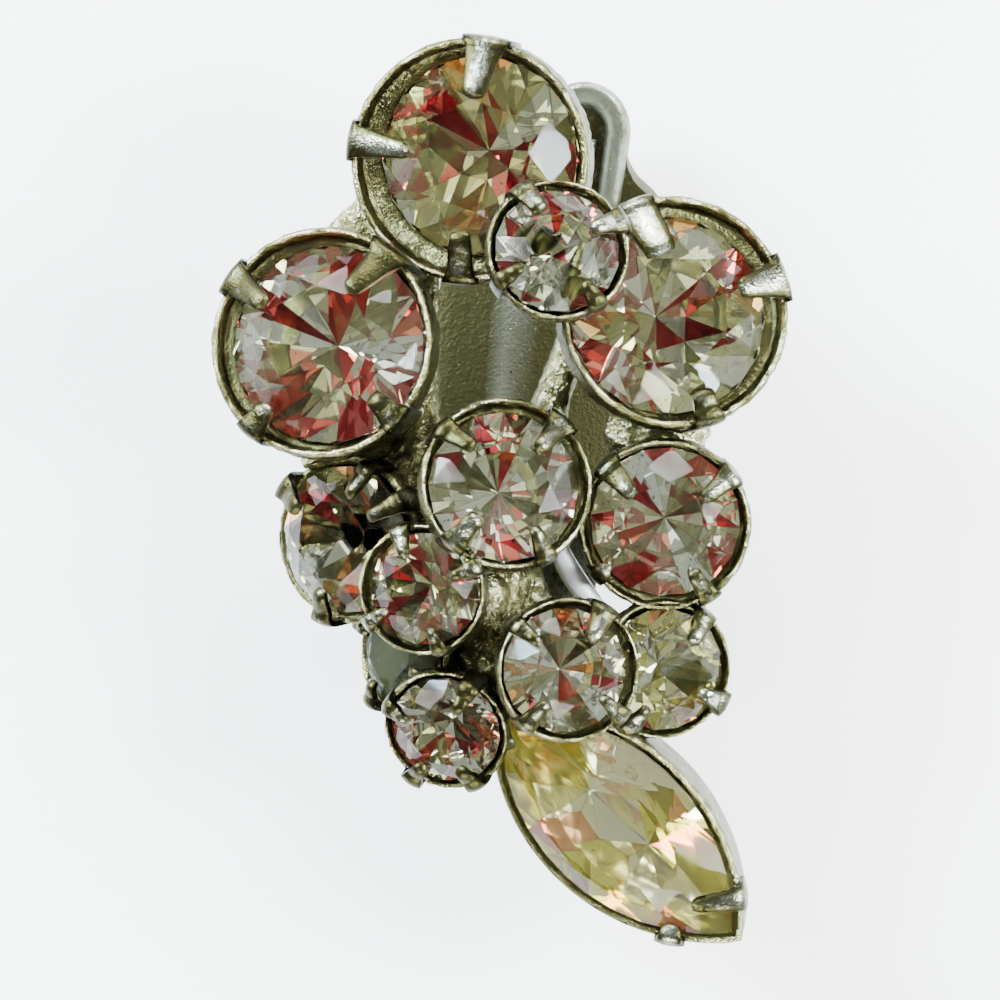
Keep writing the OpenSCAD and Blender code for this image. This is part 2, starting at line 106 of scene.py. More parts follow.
# Prongs of each cup: angle, width at the base and at the tip as shares of the stone's radius,
# where the tip ends as a share of that radius, and how bright its top is, partly rubbed wear
# and partly painted highlight
PRONGS = {
    "stone_top": [(80, 0.52, 0.16, 0.62, 0.80), (170, 0.42, 0.12, 0.56, 0.70),
                  (266, 0.36, 0.18, 0.70, 0.05), (310, 0.26, 0.14, 0.90, 0.10)],
    "stone_left": [(144, 0.42, 0.14, 0.60, 0.05), (50, 0.50, 0.12, 0.60, -0.35),
                   (232, 0.34, 0.16, 0.80, 0.10), (316, 0.34, 0.16, 0.80, 0.00)],
    "stone_right": [(112, 0.42, 0.32, 0.56, 0.80), (18, 0.50, 0.16, 0.62, 1.00),
                    (168, 0.30, 0.12, 0.80, 0.20), (286, 0.34, 0.20, 0.82, 0.05)],
    "stone_centre": [(140, 0.36, 0.17, 0.62, -0.3), (48, 0.48, 0.14, 0.52, 0.75),
                     (228, 0.38, 0.19, 0.64, 0.80), (296, 0.33, 0.15, 0.68, 0.50)],
    "stone_mid_left": [(140, 0.40, 0.19, 0.62, -0.1), (62, 0.29, 0.14, 0.66, 0.25),
                       (28, 0.31, 0.15, 0.68, 0.30), (256, 0.34, 0.17, 0.66, 0.30)],
    "stone_mid_right": [(134, 0.41, 0.19, 0.60, 0.25), (38, 0.40, 0.17, 0.62, 0.45),
                        (302, 0.34, 0.15, 0.66, 0.20), (216, 0.30, 0.16, 0.90, 0.10)],
    "stone_bridge": [(122, 0.45, 0.22, 0.58, 0.55), (24, 0.48, 0.21, 0.52, 0.90),
                     (302, 0.34, 0.17, 0.68, 0.10), (212, 0.31, 0.15, 0.70, 0.10)],
    "stone_low_left": [(108, 0.40, 0.17, 0.60, 0.40), (22, 0.34, 0.15, 0.64, 0.30),
                       (212, 0.34, 0.17, 0.66, 0.50), (290, 0.31, 0.15, 0.68, 0.20)],
    "stone_low_mid": [(60, 0.52, 0.21, 0.54, 0.60), (140, 0.31, 0.15, 0.66, 0.10),
                      (230, 0.38, 0.17, 0.62, 0.50), (318, 0.38, 0.15, 0.62, 0.30)],
    "stone_low_right": [(56, 0.43, 0.21, 0.60, 0.60), (146, 0.31, 0.15, 0.68, 0.10),
                        (236, 0.38, 0.17, 0.64, 0.50), (330, 0.43, 0.19, 0.60, 0.80)],
    "stone_foot": [(60, 0.40, 0.17, 0.60, -0.3), (152, 0.34, 0.17, 0.64, 0.40),
                   (236, 0.43, 0.19, 0.60, 0.30), (302, 0.40, 0.21, 0.62, 0.40)],
    "stone_back_left": [(60, 0.34, 0.17, 0.66, 0.05), (150, 0.34, 0.17, 0.64, 0.20),
                        (240, 0.34, 0.17, 0.64, 0.20), (330, 0.34, 0.17, 0.68, 0.05)],
}

# Foil tints of each stone, which paint in reflections and glints: main angle of the red side,
# share of red, of orange, of dark and of white facets, and the angle of the bright band, then
# the tints themselves, the seams' colour and half the band's width in radians
FOIL_REFLECTIONS = {
    "stone_top": (300, 0.20, 0.05, 0.05, 0.08, 30),
    "stone_left": (330, 0.12, 0.0, 0.08, 0.20, 172),
    "stone_right": (160, 0.19, 0.04, 0.03, 0.34, 318),
    "stone_centre": (150, 0.17, 0.02, 0.20, 0.27, 205),
    "stone_mid_left": (180, 0.06, 0.12, 0.30, 0.12, 215),
    "stone_mid_right": (90, 0.31, 0.02, 0.08, 0.10, 300),
    "stone_bridge": (300, 0.16, 0.02, 0.03, 0.42, 165),
    "stone_low_left": (200, 0.09, 0.03, 0.12, 0.34, 250),
    "stone_low_mid": (60, 0.16, 0.02, 0.16, 0.22, 320),
    "stone_low_right": (250, 0.06, 0.08, 0.10, 0.26, 40),
    "stone_foot": (250, 0.26, 0.02, 0.20, 0.12, 110),
    "stone_back_left": (250, 0.03, 0.03, 0.60, 0.0, 0),
}
SILVER_GREY = [(0.71, 0.72, 0.59), (0.58, 0.58, 0.46), (0.85, 0.86, 0.74), (0.44, 0.43, 0.31)]
RED_REFLECTIONS = [(0.44, 0.06, 0.075), (0.50, 0.09, 0.095), (0.36, 0.04, 0.06), (0.58, 0.18, 0.14)]
ORANGE_REFLECTIONS = [(0.70, 0.34, 0.15), (0.66, 0.42, 0.22)]
DARK_REFLECTIONS = [(0.20, 0.19, 0.13), (0.28, 0.26, 0.17)]
WHITE_GLINTS = [(0.99, 0.99, 0.97), (0.93, 0.97, 1.0)]
SEAM = (0.14, 0.13, 0.08)
GLINT_BAND = 0.22

# Stones whose grey facets are painted lighter, darker or yellower, as part of the painted
# reflections, whose facets are drawn with another seed, and whose foil is an even star of wedges
TONE = {"stone_top": (1.02, 1.0, 0.82), "stone_right": (1.17, 1.18, 1.05),
        "stone_mid_left": (0.90, 0.87, 0.70), "stone_low_right": (1.17, 1.13, 0.76),
        "stone_bridge": (1.10, 1.12, 1.16), "stone_back_left": (0.3, 0.3, 0.26),
        "stone_low_left": (1.2, 1.2, 1.1)}
RESEED = {"stone_bridge": 30, "stone_low_left": 20, "stone_top": 40}
STARRED = ("stone_centre", "stone_mid_right", "stone_low_mid")

# Strength of the crowns' mirror glints, and the colour of the dirt specks on them and of the dark
# film on one stone
GLASS_GLOSS = (0.12, 0.12, 0.12)
GRIME = (0.028, 0.032, 0.016)

# The long stone: its length and width, the radius of its two sides, its place as for the round
# stones, its crown and pavilion as shares of its width, the height of its edge and half the
# length of its keel, and its facet tints, among them painted shade, highlights and reflections
NAV_L, NAV_W = 13.4, 6.2
NAV_R = (NAV_L ** 2 + NAV_W ** 2) / (4 * NAV_W)
NAVETTE = Stone("stone_navette", NAV_W, 4.872, -13.794, 1.68, 225, 10, -43, 0.2, 0.12, 0.0)
NAV_CROWN, NAV_PAVILION = 0.17, 0.42
NAV_EDGE, NAV_KEEL = 0.3, 1.7
# Olive stands as painted shade at the end under the cluster, the bright tints are painted
# highlights and the rose ones painted reflections
CREAM = [(0.95, 0.92, 0.60), (0.76, 0.72, 0.36), (0.98, 0.97, 0.84), (0.38, 0.35, 0.15)]
OLIVE = [(0.62, 0.57, 0.14), (0.78, 0.72, 0.22), (0.86, 0.81, 0.36)]
ROSE_REFLECTIONS = [(0.70, 0.26, 0.24), (0.80, 0.46, 0.34)]
PAINTED_HIGHLIGHTS = [(1.0, 1.0, 0.99), (0.98, 0.98, 0.90)]

# Rows of the long stone's corners over and under its edge: share of its outline, height as a
# share of its width, and the points on each side
NAV_OVER = [(TABLE, NAV_CROWN, 6), (0.8, 0.105, 7), (1, 0, 13)]
NAV_UNDER = [(1, 0, 13), (0.70, 0.17, 8), (0.38, 0.325, 5)]

# Its tabs: place along it, side, reach as a share of half its width, and their own width
NAV_PRONGS = [(0.80, 1, 0.52, 1.25), (0.66, -1, 0.10, 1.3),
              (-0.86, 1, 0.2, 1.1), (-0.86, -1, 0.2, 1.1)]

# Struts of the frame: from x, y to x, y, then width and height
STRUTS = [
    (-1.4, 13.7, -6.7, 6.8, 2.7, 2.9), (-3.6, 11.4, -3.5, 0.4, 1.8, 2.5),
    (-1.0, 13.7, 2.4, 10.1, 2.2, 1.1), (2.4, 10.1, 7.0, 7.6, 2.2, 1.1),
    (3.6, 8.0, 1.44, 2.3, 1.4, 2.9), (-7.0, 6.5, -3.6, 5.3, 1.6, 1.1),
    (-7.0, 6.5, -5.3, -1.1, 3.4, 2.1), (-5.3, -1.1, 0.24, 0.38, 2.4, 2.2),
    (0.24, 0.38, 6.84, -1.0, 1.4, 2.0), (6.5, 6.8, 6.84, -1.0, 4.0, 2.5),
    (7.4, -1.0, 7.0, -7.0, 3.1, 1.8), (0.24, 0.38, -2.9, -3.8, 2.9, 2.2),
    (-2.9, -3.8, -1.44, -8.7, 2.9, 2.1), (-3.1, -3.8, -2.4, -6.5, 2.6, 1.8),
    (-0.24, -3.4, -0.24, -8.4, 3.2, 2.5), (0.24, 0.38, 2.04, -7.2, 1.4, 2.5),
    (2.4, -7.2, 6.0, -7.0, 1.9, 1.8), (2.4, -7.2, -1.44, -8.7, 2.4, 2.1),
    (2.2, -7.6, 4.6, -12.9, 2.9, 1.1), (-5.5, 12.1, -6.8, 10.8, 1.7, 2.8),
]

# Lumps of solder: x, y, z, radius
SOLDER = [
    (-4.3, 11.0, 9.6, 1.25), (-3.7, 4.4, 9.2, 0.9), (-3.5, 0.9, 9.0, 1.3), (-7.2, 1.9, 8.6, 1.4),
    (5.3, 2.6, 9.2, 1.0), (7.4, 3.0, 9.2, 1.5), (-0.8, -4.4, 9.3, 1.4), (-0.6, -6.6, 9.2, 1.5),
    (0.6, -8.6, 8.9, 1.2), (3.4, 6.0, 9.6, 0.8), (2.1, 3.6, 9.6, 0.8), (7.6, -4.3, 8.5, 0.9),
    (-4.6, 1.2, 8.8, 1.0), (-4.4, -6.0, 8.0, 1.0), (2.6, -10.6, 8.3, 1.0), (-1.6, -7.4, 8.9, 1.2),
]

# The clip: its turn, its hinge, its sheet and plate, then its pin and ears
TURN, HINGE_X, HINGE_Y, HINGE_Z = -7, 0.96, -5.51, 4.35
HINGE_R, SHEET_T, PLATE_Z = 1.3, 0.9, 6.1
PIN_D, EAR_T, EAR_IN = 1.2, 0.8, 1.95

# The paddle: its width and length, the bend of its arm, and the bend that lifts its tip, with
# the distance from the hinge at which it starts
PADDLE_W, PADDLE_L, TIP_W, NECK_W = 11.0, 23.8, 4.2, 3.7
ARM_R, RISE_R, RISE_TURN = 2.6, 8.0, 34
RISE_Y, TIP_Y = 0.66 * PADDLE_L, PADDLE_L - TIP_W / 2

# Its rim and tongue: the rim's band, height and foot, the tongue's foot, length, width and
# height, and how deep both are sunk in the sheet
RIM_BAND, RIM_RISE, RIM_Y = 1.18, 0.7, 0.75 * PADDLE_L
TONGUE_Y, TONGUE_L, TONGUE_W, TONGUE_RISE = 0.77 * PADDLE_L, 0.13 * PADDLE_L, 1.28, 0.35
SUNK = 0.3

# Its outline: distance from the hinge as a share of its length, and half its width as a share
OUTLINE = [
    (0.00, 0.168), (0.07, 0.168), (0.11, 0.20), (0.15, 0.26), (0.20, 0.34), (0.26, 0.40),
    (0.34, 0.445), (0.44, 0.475), (0.55, 0.495), (0.64, 0.50), (0.70, 0.49), (0.76, 0.45),
    (0.80, 0.385), (0.83, 0.315), (0.855, 0.235), (0.88, 0.195),
]

# Lights: name, place and size in metres, share of the stage's power and colour, then the room's
# colour and power and the floor's own glow
LIGHTS = [
    ("softbox_left", (-0.30, 0.20, 0.26), (0.18, 0.22), 0.85, (1, 1, 1)),
    ("softbox_right", (0.30, 0.02, 0.22), (0.10, 0.26), 0.8, (0.94, 0.98, 1)),
    ("softbox_back", (0.04, 0.36, 0.20), (0.30, 0.08), 0.7, (1, 1, 1)),
    ("softbox_front", (-0.06, -0.34, 0.22), (0.26, 0.07), 0.5, (1, 0.98, 0.93)),
    ("window_left", (-0.217, 0.182, 0.218), (0.11, 0.032), 0.46, (0.5, 0.75, 1)),
    ("window_low", (-0.278, 0.180, 0.126), (0.06, 0.03), 0.18, (0.8, 0.9, 1)),
    ("lamp_right", (0.266, -0.005, 0.241), (0.08, 0.02), 0.16, (0.8, 0.92, 1)),
    ("lamp_front", (0.231, -0.248, 0.100), (0.05, 0.022), 0.13, (0.8, 0.97, 1)),
    ("sky_panel", (-0.05, 0.09, 0.42), (0.15, 0.15), 0.026, (0.93, 0.98, 1)),
]
ROOM, ROOM_POWER, FLOOR_GLOW = (0.94, 0.97, 0.93, 1), 0.30, 0.4

# The camera looks straight down on the earring: the picture's side in pixels, pixels to the
# millimetre, distance to the plane where they hold, and its place in millimetres
SENSOR, PICTURE, PIXELS_PER_MM, STAND_OFF = 36, 1000, 23.8, 160
EYE = (-0.04, -0.12, 170.6)


# ---------------------------------------------------------------- shader maths

class Socket:
    """A node's output, which adds Math nodes when it is used in an expression"""

    def __init__(self, tree, out=None):
        self.tree = tree
        self.out = out

    def make(self, kind, settings=None, inputs=None, out=0):
        """Adds a node: its type, its settings, then the values or links of its sockets"""
        node = self.tree.nodes.new(kind)
        for key, value in (settings or {}).items():
            setattr(node, key, value)
        for key, value in (inputs or {}).items():
            if isinstance(value, Socket):
                self.tree.links.new(value.out, node.inputs[key])
            else:
                node.inputs[key].default_value = value
        return Socket(self.tree, node.outputs[out])

    def maths(self, operation, a, b, clamp=False):
        settings = {"operation": operation, "use_clamp": clamp}
        return self.make("ShaderNodeMath", settings, {0: a, 1: b})

    def __add__(self, other):
        return self.maths("ADD", self, other)

    __radd__ = __add__

    def __sub__(self, other):
        return self.maths("SUBTRACT", self, other)

    def __rsub__(self, other):
        return self.maths("SUBTRACT", other, self)

    def __mul__(self, other):
        return self.maths("MULTIPLY", self, other)

    __rmul__ = __mul__

    def clamp(self):
        return self.maths("ADD", self, 0.0, True)

    def step(self, low, high):
        """0 below low, 1 above high, and smooth between"""
        return self.make("ShaderNodeMapRange", {"interpolation_type": "SMOOTHSTEP"},
                         {"Value": self, "From Min": low, "From Max": high})

    def mix(self, a, b):
        """Colour a where self is 0 and b where it is 1: inputs 6 and 7, and output 2"""
        inputs = {0: self, 6: a if isinstance(a, Socket) else (*a, 1),
                  7: b if isinstance(b, Socket) else (*b, 1)}
        return self.make("ShaderNodeMix", {"data_type": "RGBA"}, inputs, 2)

    def noise(self, scale, detail, rough):
        """Noise on the place that self holds, its scale to the millimetre"""
        return self.make("ShaderNodeTexNoise", None, {"Vector": self, "Scale": scale / MM,
                                                      "Detail": detail, "Roughness": rough})

    def bump(self, height, distance):
        """A bump whose height of 1 stands for a distance in millimetres"""
        return self.make("ShaderNodeBump", None,
                         {"Height": height, "Strength": 1.0, "Distance": distance * MM})

    def place(self):
        """Object coordinates"""
        return self.make("ShaderNodeTexCoord", out="Object")

    def written(self, name):
        """A number that is written on the vertices"""
        return self.make("ShaderNodeAttribute", {"attribute_name": name}, out="Fac")


def new_material(name):
    """A material, its Principled shader and a socket to build from"""
    material = bpy.data.materials.new(name)
    material.use_nodes = True
    shader = material.node_tree.nodes["Principled BSDF"]
    return material, shader, Socket(material.node_tree)


def feed(shader, **values):
    """Sets or links sockets of the Principled shader, their names written with underscores"""
    for key, value in values.items():
        socket = shader.inputs[key.replace("_", " ")]
        if isinstance(value, Socket):
            value.tree.links.new(value.out, socket)
        else:
            socket.default_value = (*value, 1) if isinstance(value, tuple) else value


def aged_silver(name, dark, light, tint, rough, metal, grain, pit, painted_glints=0.0):
    """Tarnished silver plate: olive in its hollows, pale where its mark of wear and light is high,
    as rubbed wear and painted highlight, near black where that mark is below zero, as painted
    shade, lightened as a painted reflection where a streak is marked, with a fine grain, pits and,
    on solder, bright specks of painted glint"""
    material, shader, make = new_material(name)
    place = make.place()
    wear_and_light = make.written("wear_and_light")
    cloud = place.noise(0.35, 4, 0.6)
    mottle = place.noise(1.6, 5, 0.65)
    fine = place.noise(7.0, 3, 0.6)
    pits = place.make("ShaderNodeTexVoronoi", None, {"Vector": place, "Scale": 3.2 / MM})
    tarnish = (0.50 * cloud + 0.50 * mottle - 0.40 * wear_and_light + tint).step(0.34, 0.58)
    colour = tarnish.mix(light, dark)
    # Painted highlight, together with rubbed wear, where the mark is high
    edge = (wear_and_light + 0.5 * (mottle - 0.5)).step(0.55, 0.95)
    colour = edge.mix(colour, tuple(min(1, c * 1.3 + 0.16) for c in light))
    # Painted shade, near black, where the mark is below zero
    colour = (0.0 - wear_and_light).step(0.15, 0.75).mix(colour, tuple(0.22 * c for c in dark))
    # Painted reflection: a light streak where one is marked
    colour = make.written("painted_sheen").mix(colour, tuple(0.7 * c for c in light))
    hollow = pits.maths("LESS_THAN", pits, 0.22) * mottle.step(0.5, 0.7)
    colour = (hollow * pit).mix(colour, tuple(0.45 * c for c in dark))
    roughness = rough + 0.10 * tarnish - 0.1 * edge
    if painted_glints:
        # Painted glints: tiny specks painted pale gold and made smoother
        specks = fine.step(0.56, 0.62) * mottle.step(0.42, 0.58) * wear_and_light.step(-0.05, 0.35)
        colour = (painted_glints * specks).mix(colour, (0.96, 0.92, 0.66))
        roughness = roughness - 0.25 * painted_glints * specks
    height = grain * (0.6 * fine + 0.6 * mottle) - pit * hollow
    feed(shader, Base_Color=colour, Roughness=roughness.clamp(), Metallic=metal,
         Normal=make.bump(height, 0.10))
    return material


def crystal(name, tint, dirt=0.5, film=0.0):
    """The clear crown of a stone, with a few specks of dirt and, where a film is given, dark noisy
    patches of the same colour over much of the crown
    """
    material, shader, make = new_material(name)
    feed(shader, Base_Color=tint, Roughness=0.015, IOR=1.54, Transmission_Weight=1.0,
         Specular_Tint=GLASS_GLOSS)
    place = make.place()
    specks = place.noise(2.6, 2, 0.5).step(0.68, 0.71) * dirt
    if film:
        specks = (specks + film * place.noise(0.9, 3, 0.6).step(0.30, 0.52)).clamp()
    grime = make.make("ShaderNodeBsdfDiffuse", None, {"Color": (*GRIME, 1)})
    both = make.make("ShaderNodeMixShader", None,
                     {0: specks, 1: Socket(make.tree, shader.outputs[0]), 2: grime})
    make.tree.links.new(both.out, make.tree.nodes["Material Output"].inputs[0])
    return material


def foil(name, rough=0.035):
    """The silvered back of a stone, tinted facet by facet with painted reflections and glints,
    under a few stains
    """
    material, shader, make = new_material(name)
    tint = make.make("ShaderNodeAttribute", {"attribute_name": "tint"})
    place = make.place()
    stain = place.noise(0.8, 3, 0.6).step(0.62, 0.80) * 0.5
    feed(shader, Base_Color=stain.mix(tint, (0.20, 0.17, 0.08)), Roughness=rough, Metallic=0.92)
    return material


# ---------------------------------------------------------------- shapes

def turned(angle, axis="Z"):
    """A turn by an angle in degrees"""
    return Matrix.Rotation(math.radians(angle), 4, axis)


def stand(stone):
    """Puts a stone's own frame in place: its widest edge at z = 0 and its table up"""
    turn = turned(stone.way)
    middle = Matrix.Translation((stone.x, stone.y, FRAME_Z + FRAME_T + stone.lift))
    return middle @ turn @ turned(stone.lean, "Y") @ turn.inverted()


def short(stone):
    """A stone's name without its first word"""
    return stone.name.removeprefix("stone_")


def cup_shift(stone):
    """How far the cup's middle stands from its stone's, towards the stone's lean"""
    way = math.radians(stone.way)
    return Vector((stone.shift * math.cos(way), stone.shift * math.sin(way), 0))


def at_cup(stone):
    """The cup's own frame"""
    return stand(stone) @ Matrix.Translation(cup_shift(stone))


def cup_wall(size):
    """Thickness of a round cup's wall: the largest stone's cup has the thickest"""
    return CUP_WALL * size / LARGE


def cup_depth(r):
    """Depth of the pocket's point under the stone's widest edge"""
    return EDGE * r / 2 + 3 * GAP + PAVILION * r


def at_navette():
    """The long stone's own frame, with x along it"""
    return stand(NAVETTE) @ turned(NAVETTE.turn)


def at_clip():
    """The clip's own frame: the hinge over its origin and the paddle along y"""
    return Matrix.Translation((HINGE_X, HINGE_Y, 0)) @ turned(TURN)


def mark(bm, name, value):
    """Writes a number on each vertex: value(co) in millimetres"""
    layer = bm.verts.layers.float.get(name) or bm.verts.layers.float.new(name)
    for v in bm.verts:
        v[layer] = value(v.co)


def joined(bm, part):
    """Adds a bmesh to another and frees it"""
    mesh = bpy.data.meshes.new("part")
    part.to_mesh(mesh)
    part.free()
    bm.from_mesh(mesh)
    bpy.data.meshes.remove(mesh)


def piece(bm, name, body, materials, replaces=(), smooth=True):
    """Makes a finished object of a bmesh in millimetres and hands it to the frame"""
    low, high = ([c / MM for c in corner] for corner in CAD_BOX)
    for v in bm.verts:
        v.co = [min(max(c, a), b) for c, a, b in zip(v.co, low, high)]
    bmesh.ops.transform(bm, matrix=Matrix.Scale(MM, 4), verts=bm.verts)
    mesh = bpy.data.meshes.new(name)
    bm.to_mesh(mesh)
    bm.free()
    for material in materials:
        mesh.materials.append(material)
    mesh.polygons.foreach_set("use_smooth", [smooth] * len(mesh.polygons))
    obj = bpy.data.objects.new(name, mesh)
    bpy.context.scene.collection.objects.link(obj)
    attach(obj, body)
    if replaces:
        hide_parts(*replaces)


def spun(profile, steps):
    """A closed shell from a profile of (radius, height) points that starts and ends on the axis"""
    bm = bmesh.new()
    verts = [bm.verts.new((r, 0, z)) for r, z in profile]
    for a, b in zip(verts, verts[1:]):
        bm.edges.new((a, b))
    bmesh.ops.spin(bm, geom=bm.verts[:] + bm.edges[:], cent=(0, 0, 0), axis=(0, 0, 1),
                   angle=2 * math.pi, steps=steps, use_merge=True)
    bmesh.ops.remove_doubles(bm, verts=bm.verts, dist=0.001)
    bmesh.ops.recalc_face_normals(bm, faces=bm.faces)
    return bm


def finer(profile, step):
    """The profile with points put in wherever two stand further apart than step"""
    out = [profile[0]]
    for (r0, z0), (r1, z1) in zip(profile, profile[1:]):
        n = max(1, math.ceil(math.hypot(r1 - r0, z1 - z0) / step))
        out += [(r0 + (r1 - r0) * k / n, z0 + (z1 - z0) * k / n) for k in range(1, n + 1)]
    return out


def roughen(bm, size, scale, seed, only):
    """Moves each vertex along its normal by noise, in millimetres, as far as only(co) allows"""
    bm.normal_update()
    moves = []
    for v in bm.verts:
        n = noise.fractal(v.co * scale + Vector((seed, seed, seed)), 0.6, 2.0, 3)
        moves.append(v.normal * (size * n * only(v.co)))
    for v, move in zip(bm.verts, moves):
        v.co += move


def rounded(bm, offset, segments=2, angle=50):
    """Bevels the edges that fold by more than an angle in degrees"""
    edges = [e for e in bm.edges if e.calc_face_angle(0) > math.radians(angle)]
    bmesh.ops.bevel(bm, geom=edges, offset=offset, offset_type="OFFSET", affect="EDGES",
                    segments=segments, profile=0.5, material=-1, clamp_overlap=True)


def rod(bm, radius, depth, matrix=Matrix(), segments=40):
    """A plain round bar, along z before its matrix"""
    bmesh.ops.create_cone(bm, cap_ends=True, segments=segments, radius1=radius, radius2=radius,
                          depth=depth, matrix=matrix)


def facets(points, tints):
    """The convex cut shape around its corner points: its foiled faces are tinted by
    tints(centre), painted reflections and glints, with dark seams between them"""
    bm = bmesh.new()
    for p in points:
        bm.verts.new(p)
    bmesh.ops.convex_hull(bm, input=bm.verts)
    bmesh.ops.dissolve_limit(bm, angle_limit=math.radians(0.3), verts=bm.verts, edges=bm.edges)
    bmesh.ops.recalc_face_normals(bm, faces=bm.faces)
    layer = bm.loops.layers.float_color.new("tint")
    for face in bm.faces:
        # What looks down is foiled, and the crown and the upright edge are clear
        face.material_index = 1 if face.normal.z < -0.05 else 0
    foiled = [face for face in bm.faces if face.material_index]
    for face in foiled:
        colour = tints(face.calc_center_median())
        for loop in face.loops:
            loop[layer] = (*colour, 1)
    seams = bmesh.ops.inset_individual(bm, faces=foiled, thickness=SEAM_W,
                                       use_even_offset=False)
    for face in seams["faces"]:
        for loop in face.loops:
            loop[layer] = (*SEAM, 1)
    return bm


def ring(radius, z, n, start=0.0):
    """n corner points round a circle"""
    angles = [2 * math.pi * (k + start) / n for k in range(n)]
    return [(radius * math.cos(a), radius * math.sin(a), z) for a in angles]


def lens_point(t, side):
    """A point of the navette's outline: t from -1 to 1 along it, side 1 or -1"""
    a = math.asin(NAV_L / 2 / NAV_R) * t
    return Vector((NAV_R * math.sin(a), side * (NAV_R * math.cos(a) + NAV_W / 2 - NAV_R), 0))


def lens_outline(scale, z, steps):
    """Corner points round the navette's outline, up one side and back on the other"""
    out = []
    for side in (1, -1):
        for k in range(steps):
            t = side * (2 * k / (steps - 1) - 1)
            p = lens_point(t * 0.999, side) * scale
            out.append((p.x, p.y, z))
    return out


def outward(run, at):
    """The level unit vector across a run that points away from the middle"""
    across = Vector((-run.y, run.x, 0))
    return across * (1 if across.dot(at) > 0 else -1)


def foil_points(rng, r, e, star):
    """Corner points of the pavilion: an even star of wedges, or worn and uneven facets. A row
    has its share of the radius, its number of points and how far they wander"""
    out = []
    rows = ((0.52, 16, 0.03),) if star else ((0.28, 7, 0.08), (0.62, 12, 0.07))
    for share, n, wander in rows:
        turn = rng.random()
        for k in range(n):
            a = 2 * math.pi * (k + turn + 6 * wander * (rng.random() - 0.5)) / n
            s = share + wander * (2 * rng.random() - 1)
            depth = 1 - s ** 1.16
            out.append((s * r * math.cos(a), s * r * math.sin(a), -e - PAVILION * r * depth))
    away = 0.0 if star else 0.05 * r
    out.append((away, 0, -e - PAVILION * r))
    return out


def painted_foil_reflection(rng, centre, turn, recipe, tone):
    """Picks a facet's painted reflection: the red reflections gather on one side of the stone, and
    a band holds painted white glints
    """
    side, red, orange, dark, white, bright = recipe
    around = math.atan2(centre.y, centre.x) + math.radians(turn)
    away = (around - math.radians(bright) + math.pi / 2) % math.pi - math.pi / 2
    if abs(away) < GLINT_BAND:
        return rng.choice(WHITE_GLINTS)
    red *= 1 + 0.5 * math.cos(around - math.radians(side))
    pick = rng.random()
    for share, tints in ((red, RED_REFLECTIONS), (orange, ORANGE_REFLECTIONS), (dark, DARK_REFLECTIONS), (white, WHITE_GLINTS)):
        if pick < share:
            return rng.choice(tints)
        pick -= share
    return tuple(min(1, a * b) for a, b in zip(rng.choice(SILVER_GREY), tone))


# ---------------------------------------------------------------- settings

class EarringLooks(bpy.types.PropertyGroup):
    """Colours and sizes that a user would change"""

    tarnish: bpy.props.FloatVectorProperty(
        name="Tarnish", description="Colour of the tarnish in the metal's hollows",
        subtype="COLOR", size=3, min=0, max=1, default=(0.070, 0.067, 0.025))
    silver: bpy.props.FloatVectorProperty(
        name="Silver", description="Colour of the worn silver plate",
        subtype="COLOR", size=3, min=0, max=1, default=(0.21, 0.205, 0.092))
    prong_silver: bpy.props.FloatVectorProperty(
        name="Prongs", description="Colour of the matte prongs",
        subtype="COLOR", size=3, min=0, max=1, default=(0.30, 0.315, 0.24))
    jonquil: bpy.props.FloatVectorProperty(
        name="Navette", description="Colour of the long stone's glass",
        subtype="COLOR", size=3, min=0, max=1, default=(0.98, 0.96, 0.58))
    grit: bpy.props.FloatProperty(
        name="Solder grit", description="Height of the solder's grain in millimetres",
        min=0, max=0.3, default=0.11)
    seed: bpy.props.IntProperty(
        name="Seed", description="Seed of the stones' facets and their tints", default=7, min=0)


class StageLooks(bpy.types.PropertyGroup):
    """The floor and the lights"""

    floor: bpy.props.FloatVectorProperty(
        name="Floor", description="Colour of the floor",
        subtype="COLOR", size=3, min=0, max=1, default=(0.97, 0.97, 0.97))
    light: bpy.props.FloatProperty(
        name="Light", description="Watts of which each light gives its share", min=0,
        default=5.8, subtype="POWER", unit="POWER")


def looks():
    """The earring's settings"""
    return bpy.context.scene.earring_looks


def silver_for(kind):
    """The metal finishes, each made once"""
    known = bpy.data.materials.get(kind)
    if known:
        return known
    set_to = looks()
    dark, light, pale = tuple(set_to.tarnish), tuple(set_to.silver), tuple(set_to.prong_silver)
    recipes = {
        # Near white, for the bead, as a painted highlight on its silver
        "bright_silver": dict(dark=light, light=(0.74, 0.75, 0.70), tint=-0.2, rough=0.45,
                              metal=0.35, grain=0.15, pit=0.1),
        "cup_silver": dict(dark=dark, light=light, tint=0.07, rough=0.17, metal=1.0, grain=1.1,
                           pit=0.5, painted_glints=0.45),
        "prong_silver": dict(dark=tuple(0.5 * c for c in dark), light=pale, tint=0.10, rough=0.19,
                             metal=1.0, grain=0.45, pit=0.7),
        "solder_silver": dict(dark=dark, light=tuple(1.05 * c for c in light), tint=0.06,
                              rough=0.16, metal=1.0, grain=1.8, pit=0.3, painted_glints=0.8),
        "clip_silver": dict(dark=tuple(0.9 * c for c in dark), light=tuple(0.95 * c for c in pale),
                            tint=0.06, rough=0.34, metal=0.9, grain=0.7, pit=0.8),
    }
    return aged_silver(kind, **recipes[kind])


# ---------------------------------------------------------------- pieces

